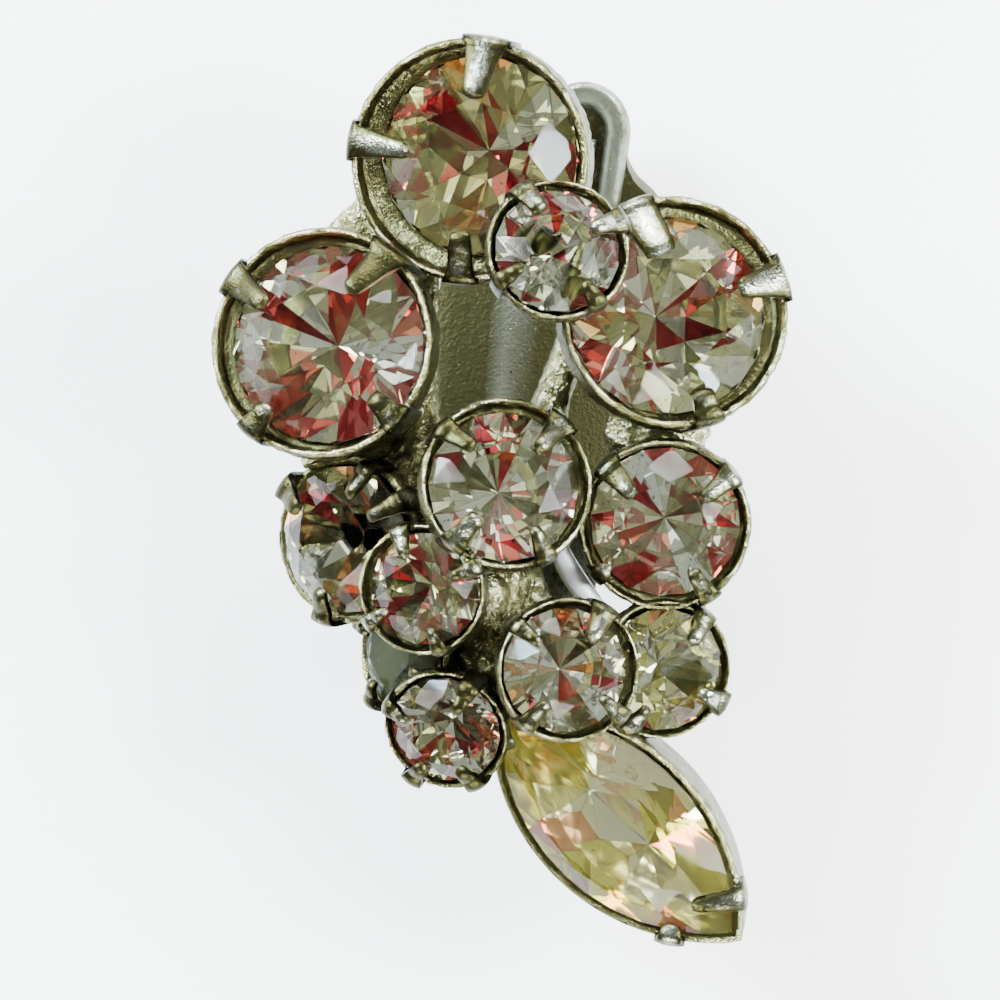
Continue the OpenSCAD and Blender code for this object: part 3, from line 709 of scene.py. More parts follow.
class EARRING_OT_stones(bpy.types.Operator):
    """Cuts the round stones, with clear crowns and foil backs tinted with painted reflections"""

    bl_idname = "earring.stones"
    bl_label = "Round stones"

    def execute(self, context):
        clear = crystal("clear_crown", (0.91, 0.915, 0.70))
        dusky = crystal("dusky_crown", (0.56, 0.59, 0.44), 0.9, 0.85)
        back = foil("silvered_foil")
        for index, stone in enumerate(STONES):
            name, r = stone.name, stone.size / 2
            rng = random.Random(looks().seed * 100 + index + RESEED.get(name, 0))
            e = EDGE * r / 2
            points = (ring(TABLE * r, e + CROWN * r, 8)
                      + ring(BREAK_R * r, e + BREAK_Z * CROWN * r, 8, 0.5)
                      + ring(r, e, 16) + ring(r, -e, 16)
                      + foil_points(rng, r, e, name in STARRED))
            tone = TONE.get(name, (1, 1, 1))
            bm = facets(points, lambda c: painted_foil_reflection(rng, c, stone.turn, FOIL_REFLECTIONS[name], tone))
            bmesh.ops.transform(bm, matrix=stand(stone) @ turned(stone.turn), verts=bm.verts)
            crown = dusky if name == "stone_back_left" else clear
            piece(bm, "cut_" + name, "cluster", [crown, back], [name], False)
        return {"FINISHED"}


class EARRING_OT_navette(bpy.types.Operator):
    """Cuts the long pale yellow stone"""

    bl_idname = "earring.navette"
    bl_label = "Navette stone"

    def execute(self, context):
        rng = random.Random(looks().seed + 41)
        clear = crystal("yellow_crown", tuple(looks().jonquil), 0.3)
        back = foil("yellow_foil", 0.08)
        e = NAV_EDGE / 2
        points = []
        for scale, height, steps in NAV_OVER:
            points += lens_outline(scale, e + height * NAV_W, steps)
        for scale, height, steps in NAV_UNDER:
            points += lens_outline(scale, -e - height * NAV_W, steps)
        points += [(x, 0, -e - NAV_PAVILION * NAV_W) for x in (-NAV_KEEL, NAV_KEEL)]

        def shade(c):
            """Dark olive at the end under the cluster as painted shade, then painted highlights,
            with edges of rose painted reflections and yellow
            """
            if c.x < -3.4:
                return rng.choice(OLIVE)
            if c.x < 0.4 and c.y > -0.9:
                return rng.choice(PAINTED_HIGHLIGHTS)
            if c.y < -1.2:
                return rng.choice(OLIVE + ROSE_REFLECTIONS)
            if c.x > 1.0 and c.y > 0.9:
                return rng.choice(ROSE_REFLECTIONS + CREAM)
            return rng.choice(CREAM + PAINTED_HIGHLIGHTS[:1])

        bm = facets(points, shade)
        bmesh.ops.transform(bm, matrix=at_navette(), verts=bm.verts)
        piece(bm, "cut_stone_navette", "cluster", [clear, back],
              ["stone_navette"], False)
        return {"FINISHED"}


class EARRING_OT_cups(bpy.types.Operator):
    """Spins the round cups: a thin rim, marked bright as rubbed wear and painted highlight, grainy
    walls and a pocket painted dark as its shade
    """

    bl_idname = "earring.cups"
    bl_label = "Round cups"

    def execute(self, context):
        metal = silver_for("cup_silver")
        for index, stone in enumerate(STONES):
            r, lip, wall = stone.size / 2, stone.lip, cup_wall(stone.size)
            inner, outer = r + stone.slack, r + stone.slack + wall
            depth = cup_depth(r)
            profile = [
                (0, -depth - 0.22), (POINT_R * r, -depth - 0.22), (MOUTH_R * r, MOUTH_Z),
                (inner - 0.04, -0.12), (inner, 0.35 * lip), (inner + 0.3 * wall, lip - 0.03),
                (inner + 0.55 * wall, lip), (outer - 0.04, lip - 0.10), (outer, lip - 0.3),
                (outer, -0.16 * r),
                (0.42 * r, -depth - 0.35), (0, -depth - 0.35),
            ]
            bm = spun(finer(profile, 0.16), 150 if stone.size > SMALL else 110)

            def wear_and_light(co):
                """Painted shade, near black, in the pocket under the stone; bright in places along
                the rim, partly rubbed wear and partly painted highlight; a little darker low on
                the outside
                """
                away = math.hypot(co.x, co.y)
                if away < inner - 0.02:
                    return 0.15 * min(1, max(0, (away - r) / 0.2)) - 0.75 * (away < 1.005 * r)
                rub_and_highlight = noise.fractal(co * 0.9 + Vector((index, index, 0)), 0.6, 2.0, 3)
                rub_and_highlight = min(1.15, max(0.1, 0.62 + 1.3 * rub_and_highlight))
                return (0.9 * rub_and_highlight * max(0.0, 1 - abs(co.z - lip) / 0.10)
                        - 0.1 * (co.z < lip - 0.3))

            def upper(co):
                return 1.0 if math.hypot(co.x, co.y) > r + 0.03 else 0.0

            mark(bm, "wear_and_light", wear_and_light)
            seed = index * 3.7
            back = cup_shift(stone)
            for v in bm.verts:
                # The pocket stays round its stone, which stands off the cup's middle
                away = math.hypot(v.co.x, v.co.y)
                low = min(1, max(0, (MOUTH_Z - v.co.z) / (depth - 0.04)))
                pocket = r * (MOUTH_R - (MOUTH_R - POINT_R) * low)
                if v.co.z >= MOUTH_Z - HAIR:
                    pocket = inner - HAIR
                if away < pocket + 0.02 and v.co.z > -depth - 0.3:
                    v.co -= back * min(1, max(0, (inner - away) / (inner - MOUTH_R * r)))
            for v in bm.verts:
                # The rim waves a little
                if upper(v.co) and v.co.z > -0.3 * r:
                    a = math.atan2(v.co.y, v.co.x)
                    wave = noise.noise((2.2 * math.cos(a), 2.2 * math.sin(a), seed))
                    v.co.z += 0.13 * wave * min(1, max(0, (v.co.z + 0.3 * r) / (0.3 * r + 0.2)))
            roughen(bm, 0.06, 2.6, seed, upper)
            bmesh.ops.transform(bm, matrix=at_cup(stone), verts=bm.verts)
            piece(bm, "cup_" + short(stone), "cluster", [metal])
        return {"FINISHED"}


def prong_path(stone, reach):
    """Middle line of a prong, as (radius, height, thickness share): up the wall, over, and down"""
    r = stone.size / 2
    out = r + stone.slack + cup_wall(stone.size)
    half = 0.2
    tip = reach * r
    shoulder = EDGE * r / 2 + CROWN * r * (1 - reach) / (1 - TABLE) + GAP
    top = max(0.4, stone.lip) + 0.2
    return [
        (out - 0.05, -0.3 * r, 0.8), (out - 0.02, 0.0, 1.0), (out - 0.02, top - 0.12, 1.0),
        (out - 0.16, top + 0.16, 1.05), (out - 0.5, top + 0.22, 1.0),
        (0.5 * (out + tip), max(0.5 * (top + shoulder) + 0.22, shoulder * 0.6 + 0.4), 0.95),
        (tip + 0.3, shoulder + half + 0.10, 0.9), (tip, shoulder + half * 0.8, 0.55),
    ]


def along(path, t):
    """The point at share t of a path of equal steps, rounded by a cubic through its points"""
    n = len(path) - 1
    s = min(max(t, 0.0), 1.0) * n
    k = min(int(s), n - 1)
    f = s - k
    p = [path[min(max(i, 0), n)] for i in (k - 1, k, k + 1, k + 2)]
    return tuple(0.5 * (2 * p[1][c] + (p[2][c] - p[0][c]) * f
                        + (2 * p[0][c] - 5 * p[1][c] + 4 * p[2][c] - p[3][c]) * f * f
                        + (3 * p[1][c] - p[0][c] - 3 * p[2][c] + p[3][c]) * f ** 3)
                 for c in range(len(path[0])))


def prong(path, base, tip, wear_and_light, seed):
    """One prong: a bar folded along its path, narrowing from half width base to a blunt tip"""
    bm = bmesh.new()
    bmesh.ops.create_cube(bm, size=1.0)
    for axis, cuts in ((0, 16), (1, 5), (2, 2)):
        edges = [e for e in bm.edges if abs(e.verts[0].co[axis] - e.verts[1].co[axis]) > 0.5]
        bmesh.ops.subdivide_edges(bm, edges=edges, cuts=cuts, use_grid_fill=True)
    layer = bm.verts.layers.float.new("wear_and_light")
    for v in bm.verts:
        t, u, w = v.co.x + 0.5, 2 * v.co.y, 2 * v.co.z
        r, z, share = along(path, t)
        r1, z1, _ = along(path, min(t + 0.01, 1))
        r0, z0, _ = along(path, max(t - 0.01, 0))
        d = math.hypot(r1 - r0, z1 - z0) or 1
        normal = ((z1 - z0) / d, -(r1 - r0) / d)
        half = base + (tip - base) * max(0, (t - 0.35) / 0.65) ** 0.8
        if t > 0.9:
            half *= math.sqrt(max(0.0, 1 - ((t - 0.9) / 0.115) ** 2)) * 0.7 + 0.3
        lump = noise.noise((3 * t, 1.5 * u, seed))
        crown = 1 - 0.55 * u * u if w > 0 else 1.0
        side = PRONG_T / 2 * share * w * crown * (1 + 0.12 * lump)
        across = u * half * (1 + 0.08 * noise.noise((4 * t, seed, 0)))
        # Painted light: the top face lighter towards its middle, the underside and the side edges
        # darker as painted shade, and a painted highlight patch near the tip
        face = max(0.0, 1 - abs(u)) if w > 0.3 else -0.3
        highlight_patch = max(0.0, 1 - abs(t - 0.72) / 0.2) * wear_and_light ** 2
        v[layer] = 0.5 * wear_and_light * face - 0.7 * max(0.0, abs(u) - 0.72) / 0.28 + 0.8 * highlight_patch * face
        v.co = Vector((r + normal[0] * side, across, z + normal[1] * side))
    bmesh.ops.recalc_face_normals(bm, faces=bm.faces)
    rounded(bm, 0.05, angle=40)
    return bm


class EARRING_OT_prongs(bpy.types.Operator):
    """Folds four prongs over each round stone"""

    bl_idname = "earring.prongs"
    bl_label = "Prongs"

    def execute(self, context):
        metal = silver_for("prong_silver")
        for index, stone in enumerate(STONES):
            half = stone.size / 4
            group = bmesh.new()
            for k, (angle, base, tip, reach, wear_and_light) in enumerate(PRONGS[stone.name]):
                bm = prong(prong_path(stone, reach), base * half, tip * half, wear_and_light,
                           index * 4.1 + k)
                bmesh.ops.rotate(bm, cent=(0, 0, 0), verts=bm.verts,
                                 matrix=turned(angle).to_3x3())
                joined(group, bm)
            bmesh.ops.transform(group, matrix=at_cup(stone), verts=group.verts)
            piece(group, "prongs_" + short(stone), "cluster", [metal])
        return {"FINISHED"}


class EARRING_OT_navette_cup(bpy.types.Operator):
    """Draws the navette's wall round its outline, with a beaded rim and four tabs"""

    bl_idname = "earring.navette_cup"
    bl_label = "Navette cup"

    def execute(self, context):
        steps = 44
        loop = [lens_point(2 * k / steps - 1, 1) for k in range(steps)]
        loop += [lens_point(1 - 2 * k / steps, -1) for k in range(steps)]
        deep, lip = 0.45 * NAV_W, NAVETTE.lip
        section = [(0.14, -deep), (0.44, -deep + 0.1), (0.44, -1.2), (0.45, -0.4), (0.46, -0.1),
                   (0.42, lip - 0.08), (0.32, lip), (0.18, lip - 0.06), (NAVETTE.slack, -0.24),
                   (-0.14, -0.30), (-0.14, -0.5), (0.10, -0.9)]
        section = finer(section + section[:1], 0.3)[:-1]
        bm = bmesh.new()
        edges = []
        count = len(loop)
        for k, p in enumerate(loop):
            side = 1 if k < count / 2 else -1
            normal = outward((loop[(k + 1) % count] - loop[k - 1]).normalized(), p)
            bead = 0.035 * math.sin(k * 2.4) if side > 0 else 0.012 * math.sin(k * 1.3)
            stretch = 1.15 if abs(p.x) > 0.49 * NAV_L else 1.0
            drop = 0.0 if side > 0 else 0.34 * max(0.0, 1 - (p.x / (0.44 * NAV_L)) ** 4)
            row = [bm.verts.new(p + normal * (o * stretch + (bead if z > -0.2 else 0))
                                + Vector((0, 0, z + bead * (z > 0) - drop * (z > -0.2))))
                   for o, z in section]
            edges.append([bm.edges.new((a, b)) for a, b in zip(row, row[1:] + row[:1])])
        for a, b in zip(edges, edges[1:] + edges[:1]):
            bmesh.ops.bridge_loops(bm, edges=a + b)
        bmesh.ops.recalc_face_normals(bm, faces=bm.faces)
        # The lip is marked bright, partly rubbed wear and partly painted highlight
        mark(bm, "wear_and_light", lambda co: max(0.0, 1 - abs(co.z - lip) / 0.14) * 0.9)
        roughen(bm, 0.03, 3.0, 5.0, lambda co: 1.0 if co.z > -2 else 0.4)
        bmesh.ops.transform(bm, matrix=at_navette(), verts=bm.verts)
        piece(bm, "cup_navette", "cluster", [silver_for("cup_silver")])

        tabs = bmesh.new()
        for k, (t, side, reach, width) in enumerate(NAV_PRONGS):
            foot = lens_point(t, side)
            out = outward((lens_point(t + 0.01, side) - foot).normalized(), foot)
            rise = 0.15 + NAV_CROWN * NAV_W * 0.6 * reach
            path = [(0.5, -1.2, 0.8), (0.52, -0.5, 1.0), (0.52, 0.1, 1.0), (0.44, 0.42, 1.05),
                    (0.2, 0.62, 1.0), (-0.4 * reach * NAV_W / 2, rise * 0.6 + 0.42, 1.0),
                    (-reach * NAV_W / 2, rise + 0.24, 0.7)]
            bm = prong(path, width / 2, width / 2 * 0.55, 0.7, 30 + k)
            place = Matrix.Translation(foot) @ Matrix.Rotation(math.atan2(out.y, out.x), 4, "Z")
            bmesh.ops.transform(bm, matrix=place, verts=bm.verts)
            joined(tabs, bm)
        bmesh.ops.transform(tabs, matrix=at_navette(), verts=tabs.verts)
        piece(tabs, "prongs_navette", "cluster", [silver_for("prong_silver")])
        return {"FINISHED"}


def keep_under_cup(bm, stone):
    """Presses the frame's vertices that stand inside a round cup back into its wall"""
    r = stone.size / 2
    edge = r + stone.slack + 0.5 * cup_wall(stone.size)
    depth = cup_depth(r) + FLOOR_T
    body = 0.16 * r
    flat = 0.3 * r
    place = at_cup(stone)
    back = place.inverted()
    for v in bm.verts:
        p = back @ v.co
        away = math.hypot(p.x, p.y)
        floor = -depth + (depth - body) * min(1, max(0, away - flat) / (edge - flat))
        if away >= edge or p.z <= floor or p.z > 1.2 * r:
            continue
        if edge - away < 0.5 and p.z > -body:
            push = edge / max(away, 0.01)
            v.co = place @ Vector((p.x * push, p.y * push, p.z))
        else:
            v.co = place @ Vector((p.x, p.y, floor))


def keep_under_navette(bm):
    """Presses the frame's vertices that stand inside the navette's wall down under its stone"""
    place = at_navette()
    back = place.inverted()
    for v in bm.verts:
        p = back @ v.co
        if abs(p.x) < NAV_L / 2 + 0.3 and p.z < 2:
            half = math.sqrt(max(0.0, NAV_R ** 2 - p.x ** 2)) + NAV_W / 2 - NAV_R + 0.25
            if abs(p.y) < half:
                inside = 1 - abs(p.y) / half
                floor = -0.5 - 1.02 * NAV_PAVILION * NAV_W * inside
                if p.z > floor:
                    v.co = place @ Vector((p.x, p.y, floor))


def keep_under(bm):
    """Clears every pocket of the frame's metal"""
    for stone in STONES:
        keep_under_cup(bm, stone)
    keep_under_navette(bm)


def fused(bm, context):
    """One skin round all that the bmesh holds, as a new bmesh in millimetres"""
    bmesh.ops.transform(bm, matrix=Matrix.Scale(MM, 4), verts=bm.verts)
    mesh = bpy.data.meshes.new("soldered_frame")
    bm.to_mesh(mesh)
    bm.free()
    source = bpy.data.objects.new("frame_source", mesh)
    context.scene.collection.objects.link(source)
    remesh = source.modifiers.new("remesh", "REMESH")
    remesh.mode = "VOXEL"
    remesh.voxel_size = VOXEL * MM
    graph = context.evaluated_depsgraph_get()
    skin = bpy.data.meshes.new_from_object(source.evaluated_get(graph))
    bpy.data.objects.remove(source)
    bm = bmesh.new()
    bm.from_mesh(skin)
    bpy.data.meshes.remove(skin)
    bmesh.ops.transform(bm, matrix=Matrix.Scale(1 / MM, 4), verts=bm.verts)
    return bm


class EARRING_OT_frame(bpy.types.Operator):
    """Fuses the struts, the cups' feet and the solder into one rough casting"""

    bl_idname = "earring.frame"
    bl_label = "Soldered frame"

    def execute(self, context):
        self.bead()
        bm = bmesh.new()
        for x0, y0, x1, y1, width, height in STRUTS:
            run = Vector((x1 - x0, y1 - y0, 0))
            part = bmesh.new()
            bmesh.ops.create_cube(part, size=1.0)
            bmesh.ops.scale(part, vec=(run.length + width * 0.6, width, height), verts=part.verts)
            rounded(part, 0.32 * min(width, height), 3)
            middle = Matrix.Translation(((x0 + x1) / 2, (y0 + y1) / 2, FRAME_Z + height / 2))
            turn = Matrix.Rotation(math.atan2(run.y, run.x), 4, "Z")
            bmesh.ops.transform(part, matrix=middle @ turn, verts=part.verts)
            joined(bm, part)
        for x, y, z, radius in SOLDER:
            middle = Matrix.Translation((x, y, max(z, FRAME_Z + radius)))
            bmesh.ops.create_icosphere(bm, subdivisions=3, radius=radius,
                                       matrix=middle @ Matrix.Diagonal((1, 1, 0.8, 1)))
        for stone in STONES:
            r = stone.size / 2
            top = stand(stone) @ Vector((0, 0, -0.9 * PAVILION * r))
            depth = top.z - FRAME_Z
            if depth > 0.4:
                middle = Matrix.Translation((top.x, top.y, FRAME_Z + depth / 2))
                bmesh.ops.create_cone(bm, cap_ends=True, segments=24, radius1=0.56 * r,
                                      radius2=0.46 * r, depth=depth, matrix=middle)
        bm = fused(bm, context)
        for _ in range(4):
            bmesh.ops.smooth_vert(bm, verts=bm.verts, factor=0.5, use_axis_x=True,
                                  use_axis_y=True, use_axis_z=True)
        keep_under(bm)
        roughen(bm, looks().grit, 1.6, 2.0, lambda co: min(1, max(0.0, (co.z - FRAME_Z) / 0.6)))
        keep_under(bm)
        for v in bm.verts:
            v.co.z = max(v.co.z, FRAME_Z - GAP)

        def wear_and_light(co):
            """Bright in noisy patches, and darker on its flat underside as painted shade"""
            lump = noise.fractal(co * 2.4, 0.6, 2.0, 3)
            under = min(1, max(0, (FRAME_Z + 0.3 - co.z) / 0.3))
            return min(1, max(0, 0.35 + 1.1 * lump)) * (1 - under) - 0.12 * under

        mark(bm, "wear_and_light", wear_and_light)
        piece(bm, "soldered_frame", "cluster", [silver_for("solder_silver")],
              ["setting"])
        return {"FINISHED"}

    def bead(self):
        """A long bead of solder, bent and thinner at its ends, painted near white as its highlight
        """
        bead = bmesh.new()
        bmesh.ops.create_uvsphere(bead, u_segments=24, v_segments=32, radius=1.0)
        for v in bead.verts:
            s = v.co.z
            fat = 1
            if abs(s) < 0.97:
                fat = 0.46 * (1 - 0.25 * s * s) / math.sqrt(max(0.05, 1 - s * s))
            v.co = Vector((3.15 - 1.15 * s + 0.45 * s * s + fat * v.co.x,
                           -3.5 + 1.75 * s - 0.3 * s * s + 0.4 * fat * v.co.x,
                           9.9 + fat * v.co.y))
        bmesh.ops.recalc_face_normals(bead, faces=bead.faces)
        # Marked bright all over: a painted highlight
        mark(bead, "wear_and_light", lambda co: 1.0)
        piece(bead, "solder_bead", "cluster", [silver_for("bright_silver")])


class EARRING_OT_clip_plate(bpy.types.Operator):
    """Cuts the fixed plate with its two ears"""

    bl_idname = "earring.clip_plate"
    bl_label = "Fixed clip plate"

    def execute(self, context):
        bm = bmesh.new()
        ear_out = EAR_IN + EAR_T
        bmesh.ops.create_cube(bm, size=1.0, matrix=Matrix.Translation((0, 2.62, PLATE_Z + 0.55))
                              @ Matrix.Diagonal((2 * ear_out + 0.28, 7.9, 1.08, 1)))
        for side in (-1, 1):
            part = bmesh.new()
            rod(part, HINGE_R - HAIR, EAR_T)
            for v in part.verts:
                if v.co.x > 0.6:
                    v.co.x += PLATE_Z + 0.3 - HINGE_Z - 1.0
            place = (Matrix.Translation((side * (EAR_IN + EAR_T / 2), 0, HINGE_Z))
                     @ turned(-90, "Y"))
            bmesh.ops.transform(part, matrix=place, verts=part.verts)
            joined(bm, part)
        bmesh.ops.recalc_face_normals(bm, faces=bm.faces)
        rounded(bm, 0.07)
        mark(bm, "wear_and_light", lambda co: 0.3)
        bmesh.ops.transform(bm, matrix=at_clip(), verts=bm.verts)
        piece(bm, "clip_plate", "cluster", [silver_for("clip_silver")], (), False)
        return {"FINISHED"}


def along_hinge():
    """The hinge's line: x of the clip's own frame, at the pin's height"""
    return Matrix.Translation((0, 0, HINGE_Z)) @ turned(90, "Y")


def sheet_point(s):
    """The paddle's back along its length s: (y, z), from the hinge down its arm, along the flat
    run and up to the tip"""
    arm = HINGE_Z - ARM_R
    bend = ARM_R * math.pi / 2
    flat_from = ARM_R - HINGE_R
    flat = RISE_Y - flat_from
    rise = RISE_R * math.radians(RISE_TURN)
    if s < arm:
        return -HINGE_R, HINGE_Z - s
    s -= arm
    if s < bend:
        a = s / ARM_R
        return flat_from - ARM_R * math.cos(a), ARM_R - ARM_R * math.sin(a)
    s -= bend
    if s < flat:
        return flat_from + s, 0.0
    s -= flat
    if s < rise:
        a = s / RISE_R
        return RISE_Y + RISE_R * math.sin(a), RISE_R - RISE_R * math.cos(a)
    a = math.radians(RISE_TURN)
    s -= rise
    return (RISE_Y + RISE_R * math.sin(a) + s * math.cos(a),
            RISE_R - RISE_R * math.cos(a) + s * math.sin(a))


def rise_at(y):
    """Height and slope of the paddle's back at a distance y from the hinge, past the arm"""
    a = math.radians(RISE_TURN)
    if y <= RISE_Y:
        return 0.0, 0.0
    if y < RISE_Y + RISE_R * math.sin(a):
        t = math.asin((y - RISE_Y) / RISE_R)
        return RISE_R - RISE_R * math.cos(t), t
    return RISE_R - RISE_R * math.cos(a) + (y - RISE_Y - RISE_R * math.sin(a)) * math.tan(a), a


def half_width(y):
    """Half the paddle's width at a distance y from the hinge"""
    share = y / PADDLE_L
    if y > TIP_Y + TIP_W / 4:
        return math.sqrt(max(0.0, (TIP_W / 2) ** 2 - (y - TIP_Y) ** 2))
    rows = OUTLINE + [((TIP_Y + TIP_W / 4) / PADDLE_L, TIP_W / 2 * 0.866 / PADDLE_W)]
    if share <= rows[0][0]:
        return rows[0][1] * PADDLE_W
    for (a, wa), (b, wb) in zip(rows, rows[1:]):
        if share <= b:
            return PADDLE_W * (wa + (wb - wa) * (share - a) / (b - a))
    return rows[-1][1] * PADDLE_W


def paddle_sheet():
    """The bent sheet of the paddle"""
    bm = bmesh.new()
    bmesh.ops.create_grid(bm, x_segments=14, y_segments=90, size=1.0)
    length = 0.0
    while sheet_point(length)[0] < PADDLE_L - 0.01:
        length += 0.02
    for v in bm.verts:
        t = (v.co.y + 1) / 2
        y, z = sheet_point(length * math.sin(t * math.pi / 2) ** 0.9)
        v.co = Vector((v.co.x * max(half_width(y), 0.25), y, z))
    bmesh.ops.recalc_face_normals(bm, faces=bm.faces)
    if sum(f.normal.z for f in bm.faces) > 0:
        bmesh.ops.reverse_faces(bm, faces=bm.faces)
    bmesh.ops.solidify(bm, geom=bm.faces[:], thickness=SHEET_T)
    bmesh.ops.recalc_face_normals(bm, faces=bm.faces)
    low = min(v.co.z for v in bm.verts)
    if low < -0.01:
        bmesh.ops.translate(bm, vec=(0, 0, -low), verts=bm.verts)
    rounded(bm, 0.14, 3)
    return bm


def paddle_rim():
    """The raised rim: a band up one side, round the tip and down the other"""
    rim = bmesh.new()
    legs, turn_steps = 22, 40
    bmesh.ops.create_grid(rim, x_segments=2 * legs + turn_steps, y_segments=12, size=1.0)
    middle = TIP_W / 2 - RIM_BAND / 2
    leg = TIP_Y - RIM_Y
    whole = 2 * leg + math.pi * middle
    for v in rim.verts:
        s = (v.co.x + 1) / 2 * whole
        u = v.co.y
        if s < leg:
            centre, out = Vector((middle, RIM_Y + s)), Vector((1, 0))
        elif s < whole - leg:
            a = (s - leg) / middle
            centre = Vector((middle * math.cos(a), TIP_Y + middle * math.sin(a)))
            out = Vector((math.cos(a), math.sin(a)))
        else:
            centre, out = Vector((-middle, RIM_Y + whole - s)), Vector((-1, 0))
        p = centre + out * (u * RIM_BAND / 2 * 0.995)
        fade = min(1, min(s, whole - s) / 1.2) ** 0.5
        height = SHEET_T - 0.25 + (RIM_RISE + 0.25) * fade * (1 - abs(u) ** 3.2) ** 0.5
        z, slope = rise_at(p.y)
        v.co = Vector((p.x, p.y, z + height / math.cos(slope)))
    bottom = bmesh.ops.extrude_face_region(rim, geom=rim.faces[:])
    for v in [g for g in bottom["geom"] if isinstance(g, bmesh.types.BMVert)]:
        v.co.z = rise_at(v.co.y)[0] + SUNK
    bmesh.ops.recalc_face_normals(rim, faces=rim.faces)
    return rim


def paddle_tongue():
    """The raised tongue between the rim's legs"""
    tongue = bmesh.new()
    bmesh.ops.create_cube(tongue, size=1.0)
    bmesh.ops.subdivide_edges(tongue, edges=tongue.edges, cuts=6, use_grid_fill=True)
    for v in tongue.verts:
        y = TONGUE_Y + (v.co.y + 0.5) * TONGUE_L
        z, slope = rise_at(y)
        top = SHEET_T + TONGUE_RISE * (1 - (2 * v.co.x) ** 4 * 0.4)
        height = top if v.co.z > 0.45 else SUNK
        v.co = Vector((v.co.x * TONGUE_W, y, z + height / math.cos(slope)))
    return tongue


class EARRING_OT_paddle(bpy.types.Operator):
    """Bends the clip's paddle, with its knuckle and the raised rim at its tip"""

    bl_idname = "earring.paddle"
    bl_label = "Clip paddle"

    def execute(self, context):
        bm = paddle_sheet()
        joined(bm, paddle_rim())
        joined(bm, paddle_tongue())
        knuckle = bmesh.new()
        rod(knuckle, HINGE_R - HAIR, NECK_W - 2 * HAIR, along_hinge(), 48)
        rounded(knuckle, 0.12)
        joined(bm, knuckle)

        def wear_and_light(co):
            """Darker on the sheet, which lies under the cluster, as painted shade, less so near
            the tip that reaches out from under it, and brighter up the rim
            """
            z, slope = rise_at(co.y)
            over = (co.z - z) * math.cos(slope) - SHEET_T
            if over < 0.05:
                return -0.38 + 0.33 * min(1, max(0, (co.y - 16.5) / 1.5))
            return 0.42 * min(1, over / RIM_RISE)

        mark(bm, "wear_and_light", wear_and_light)
        # Painted reflection: a soft light streak down the sheet
        mark(bm, "painted_sheen", lambda co: math.exp(-((co.x + 2.0) / 0.45) ** 2))
        bmesh.ops.transform(bm, matrix=at_clip(), verts=bm.verts)
        piece(bm, "paddle", "paddle", [silver_for("clip_silver")], ["clip_paddle"])
        return {"FINISHED"}


class EARRING_OT_pin(bpy.types.Operator):
    """Turns the hinge pin with its two flattened heads"""

    bl_idname = "earring.pin"
    bl_label = "Hinge pin"

    def execute(self, context):
        bm = bmesh.new()
        reach = EAR_IN + EAR_T + GAP
        rod(bm, PIN_D / 2, 2 * reach, along_hinge())
        for side in (-1, 1):
            head = along_hinge() @ Matrix.Translation((0, 0, side * (reach + PIN_D / 6)))
            rod(bm, 0.75 * PIN_D, PIN_D / 3, head)
        rounded(bm, 0.09, 3)
        mark(bm, "wear_and_light", lambda co: 0.5)
        bmesh.ops.transform(bm, matrix=at_clip(), verts=bm.verts)
        piece(bm, "pin", "cluster", [silver_for("clip_silver")], ["hinge_pin"],
              False)
        return {"FINISHED"}


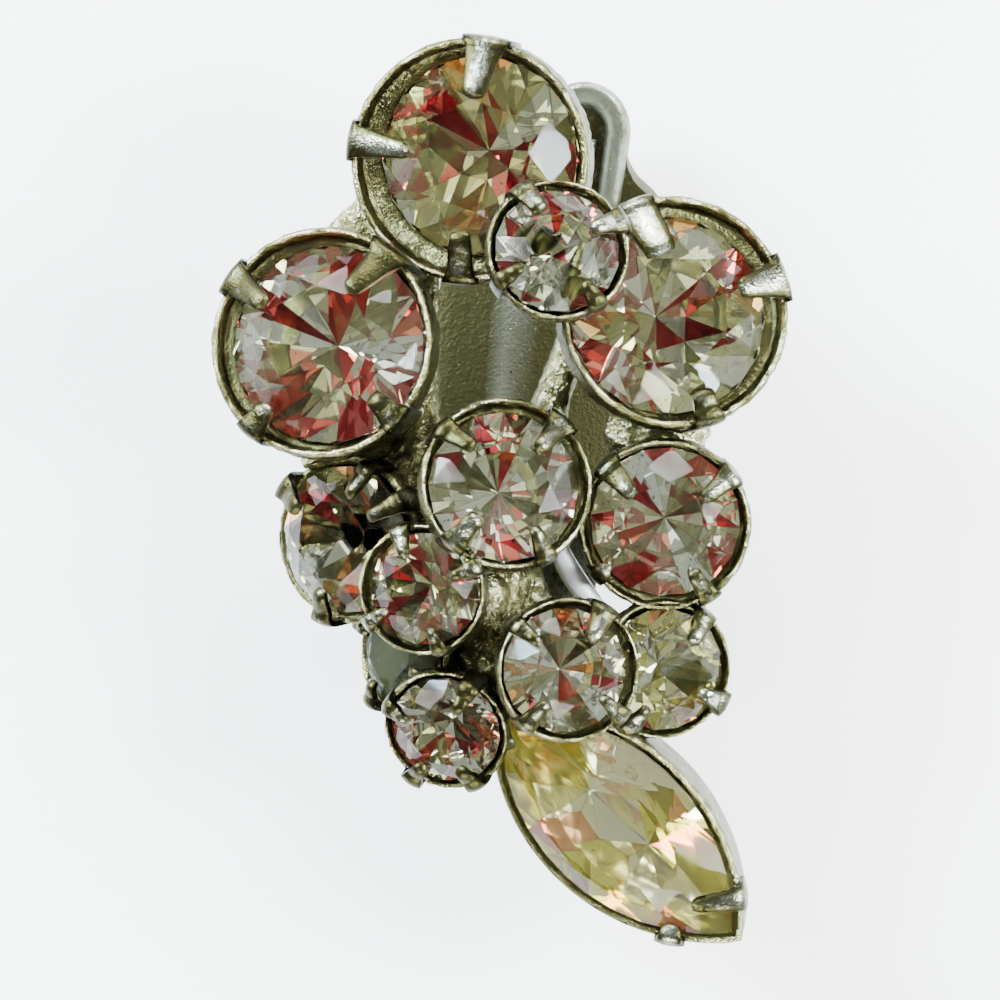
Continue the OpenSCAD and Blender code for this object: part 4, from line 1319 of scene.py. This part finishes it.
class EARRING_OT_stage(bpy.types.Operator):
    """Lays the pale floor, hangs the soft lights and sets the camera over the earring"""

    bl_idname = "earring.stage"
    bl_label = "Stage"

    def execute(self, context):
        scene = context.scene
        stage = scene.stage_looks
        bm = bmesh.new()
        bmesh.ops.create_grid(bm, x_segments=2, y_segments=2, size=1.5)
        mesh = bpy.data.meshes.new("floor")
        bm.to_mesh(mesh)
        bm.free()
        material, shader, make = new_material("pale_floor")
        place = make.place()
        shade = place.noise(0.02, 2, 0.5).step(0.2, 0.8)
        floor_colour = tuple(stage.floor)
        feed(shader, Base_Color=shade.mix(floor_colour, tuple(0.985 * c for c in floor_colour)),
             Roughness=0.9, Emission_Color=(1, 1, 1), Emission_Strength=FLOOR_GLOW)
        mesh.materials.append(material)
        floor = bpy.data.objects.new("floor", mesh)
        scene.collection.objects.link(floor)

        for name, place, size, share, colour in LIGHTS:
            light = bpy.data.lights.new(name, "AREA")
            light.shape = "RECTANGLE"
            light.size, light.size_y = size
            light.energy = share * stage.light
            light.color = colour
            obj = bpy.data.objects.new(name, light)
            scene.collection.objects.link(obj)
            obj.location = place
            aim = Vector((0, 0, 0.008)) - Vector(place)
            obj.rotation_euler = aim.to_track_quat("-Z", "Y").to_euler()

        world = bpy.data.worlds.new("studio")
        scene.world = world
        world.use_nodes = True
        back = world.node_tree.nodes["Background"]
        back.inputs["Color"].default_value = ROOM
        back.inputs["Strength"].default_value = ROOM_POWER

        camera = bpy.data.cameras.new("camera")
        camera.sensor_width = SENSOR
        camera.lens = SENSOR * STAND_OFF / (PICTURE / PIXELS_PER_MM)
        camera.clip_start, camera.clip_end = 0.001, 10
        eye = bpy.data.objects.new("camera", camera)
        scene.collection.objects.link(eye)
        eye.location = [c * MM for c in EYE]
        scene.camera = eye
        return {"FINISHED"}


class EARRING_PT_panel(bpy.types.Panel):
    """Lists the looks and the steps that build the earring"""

    bl_label = "Clip earring"
    bl_space_type = "VIEW_3D"
    bl_region_type = "UI"
    bl_category = "Earring"

    def draw(self, context):
        for group in (context.scene.earring_looks, context.scene.stage_looks):
            for key in group.__annotations__:
                self.layout.prop(group, key)
        for step in STEPS:
            self.layout.operator(step.bl_idname)


STEPS = [
    EARRING_OT_stage, EARRING_OT_stones, EARRING_OT_navette, EARRING_OT_cups,
    EARRING_OT_prongs, EARRING_OT_navette_cup, EARRING_OT_frame, EARRING_OT_clip_plate,
    EARRING_OT_paddle, EARRING_OT_pin,
]
CLASSES = [EarringLooks, StageLooks, *STEPS, EARRING_PT_panel]


def register():
    for cls in CLASSES:
        bpy.utils.register_class(cls)
    bpy.types.Scene.earring_looks = bpy.props.PointerProperty(type=EarringLooks)
    bpy.types.Scene.stage_looks = bpy.props.PointerProperty(type=StageLooks)


def unregister():
    del bpy.types.Scene.stage_looks
    del bpy.types.Scene.earring_looks
    for cls in reversed(CLASSES):
        bpy.utils.unregister_class(cls)


def main():
    register()
    for step in STEPS:
        family, name = step.bl_idname.split(".")
        getattr(getattr(bpy.ops, family), name)()


if __name__ == "__main__":
    main()
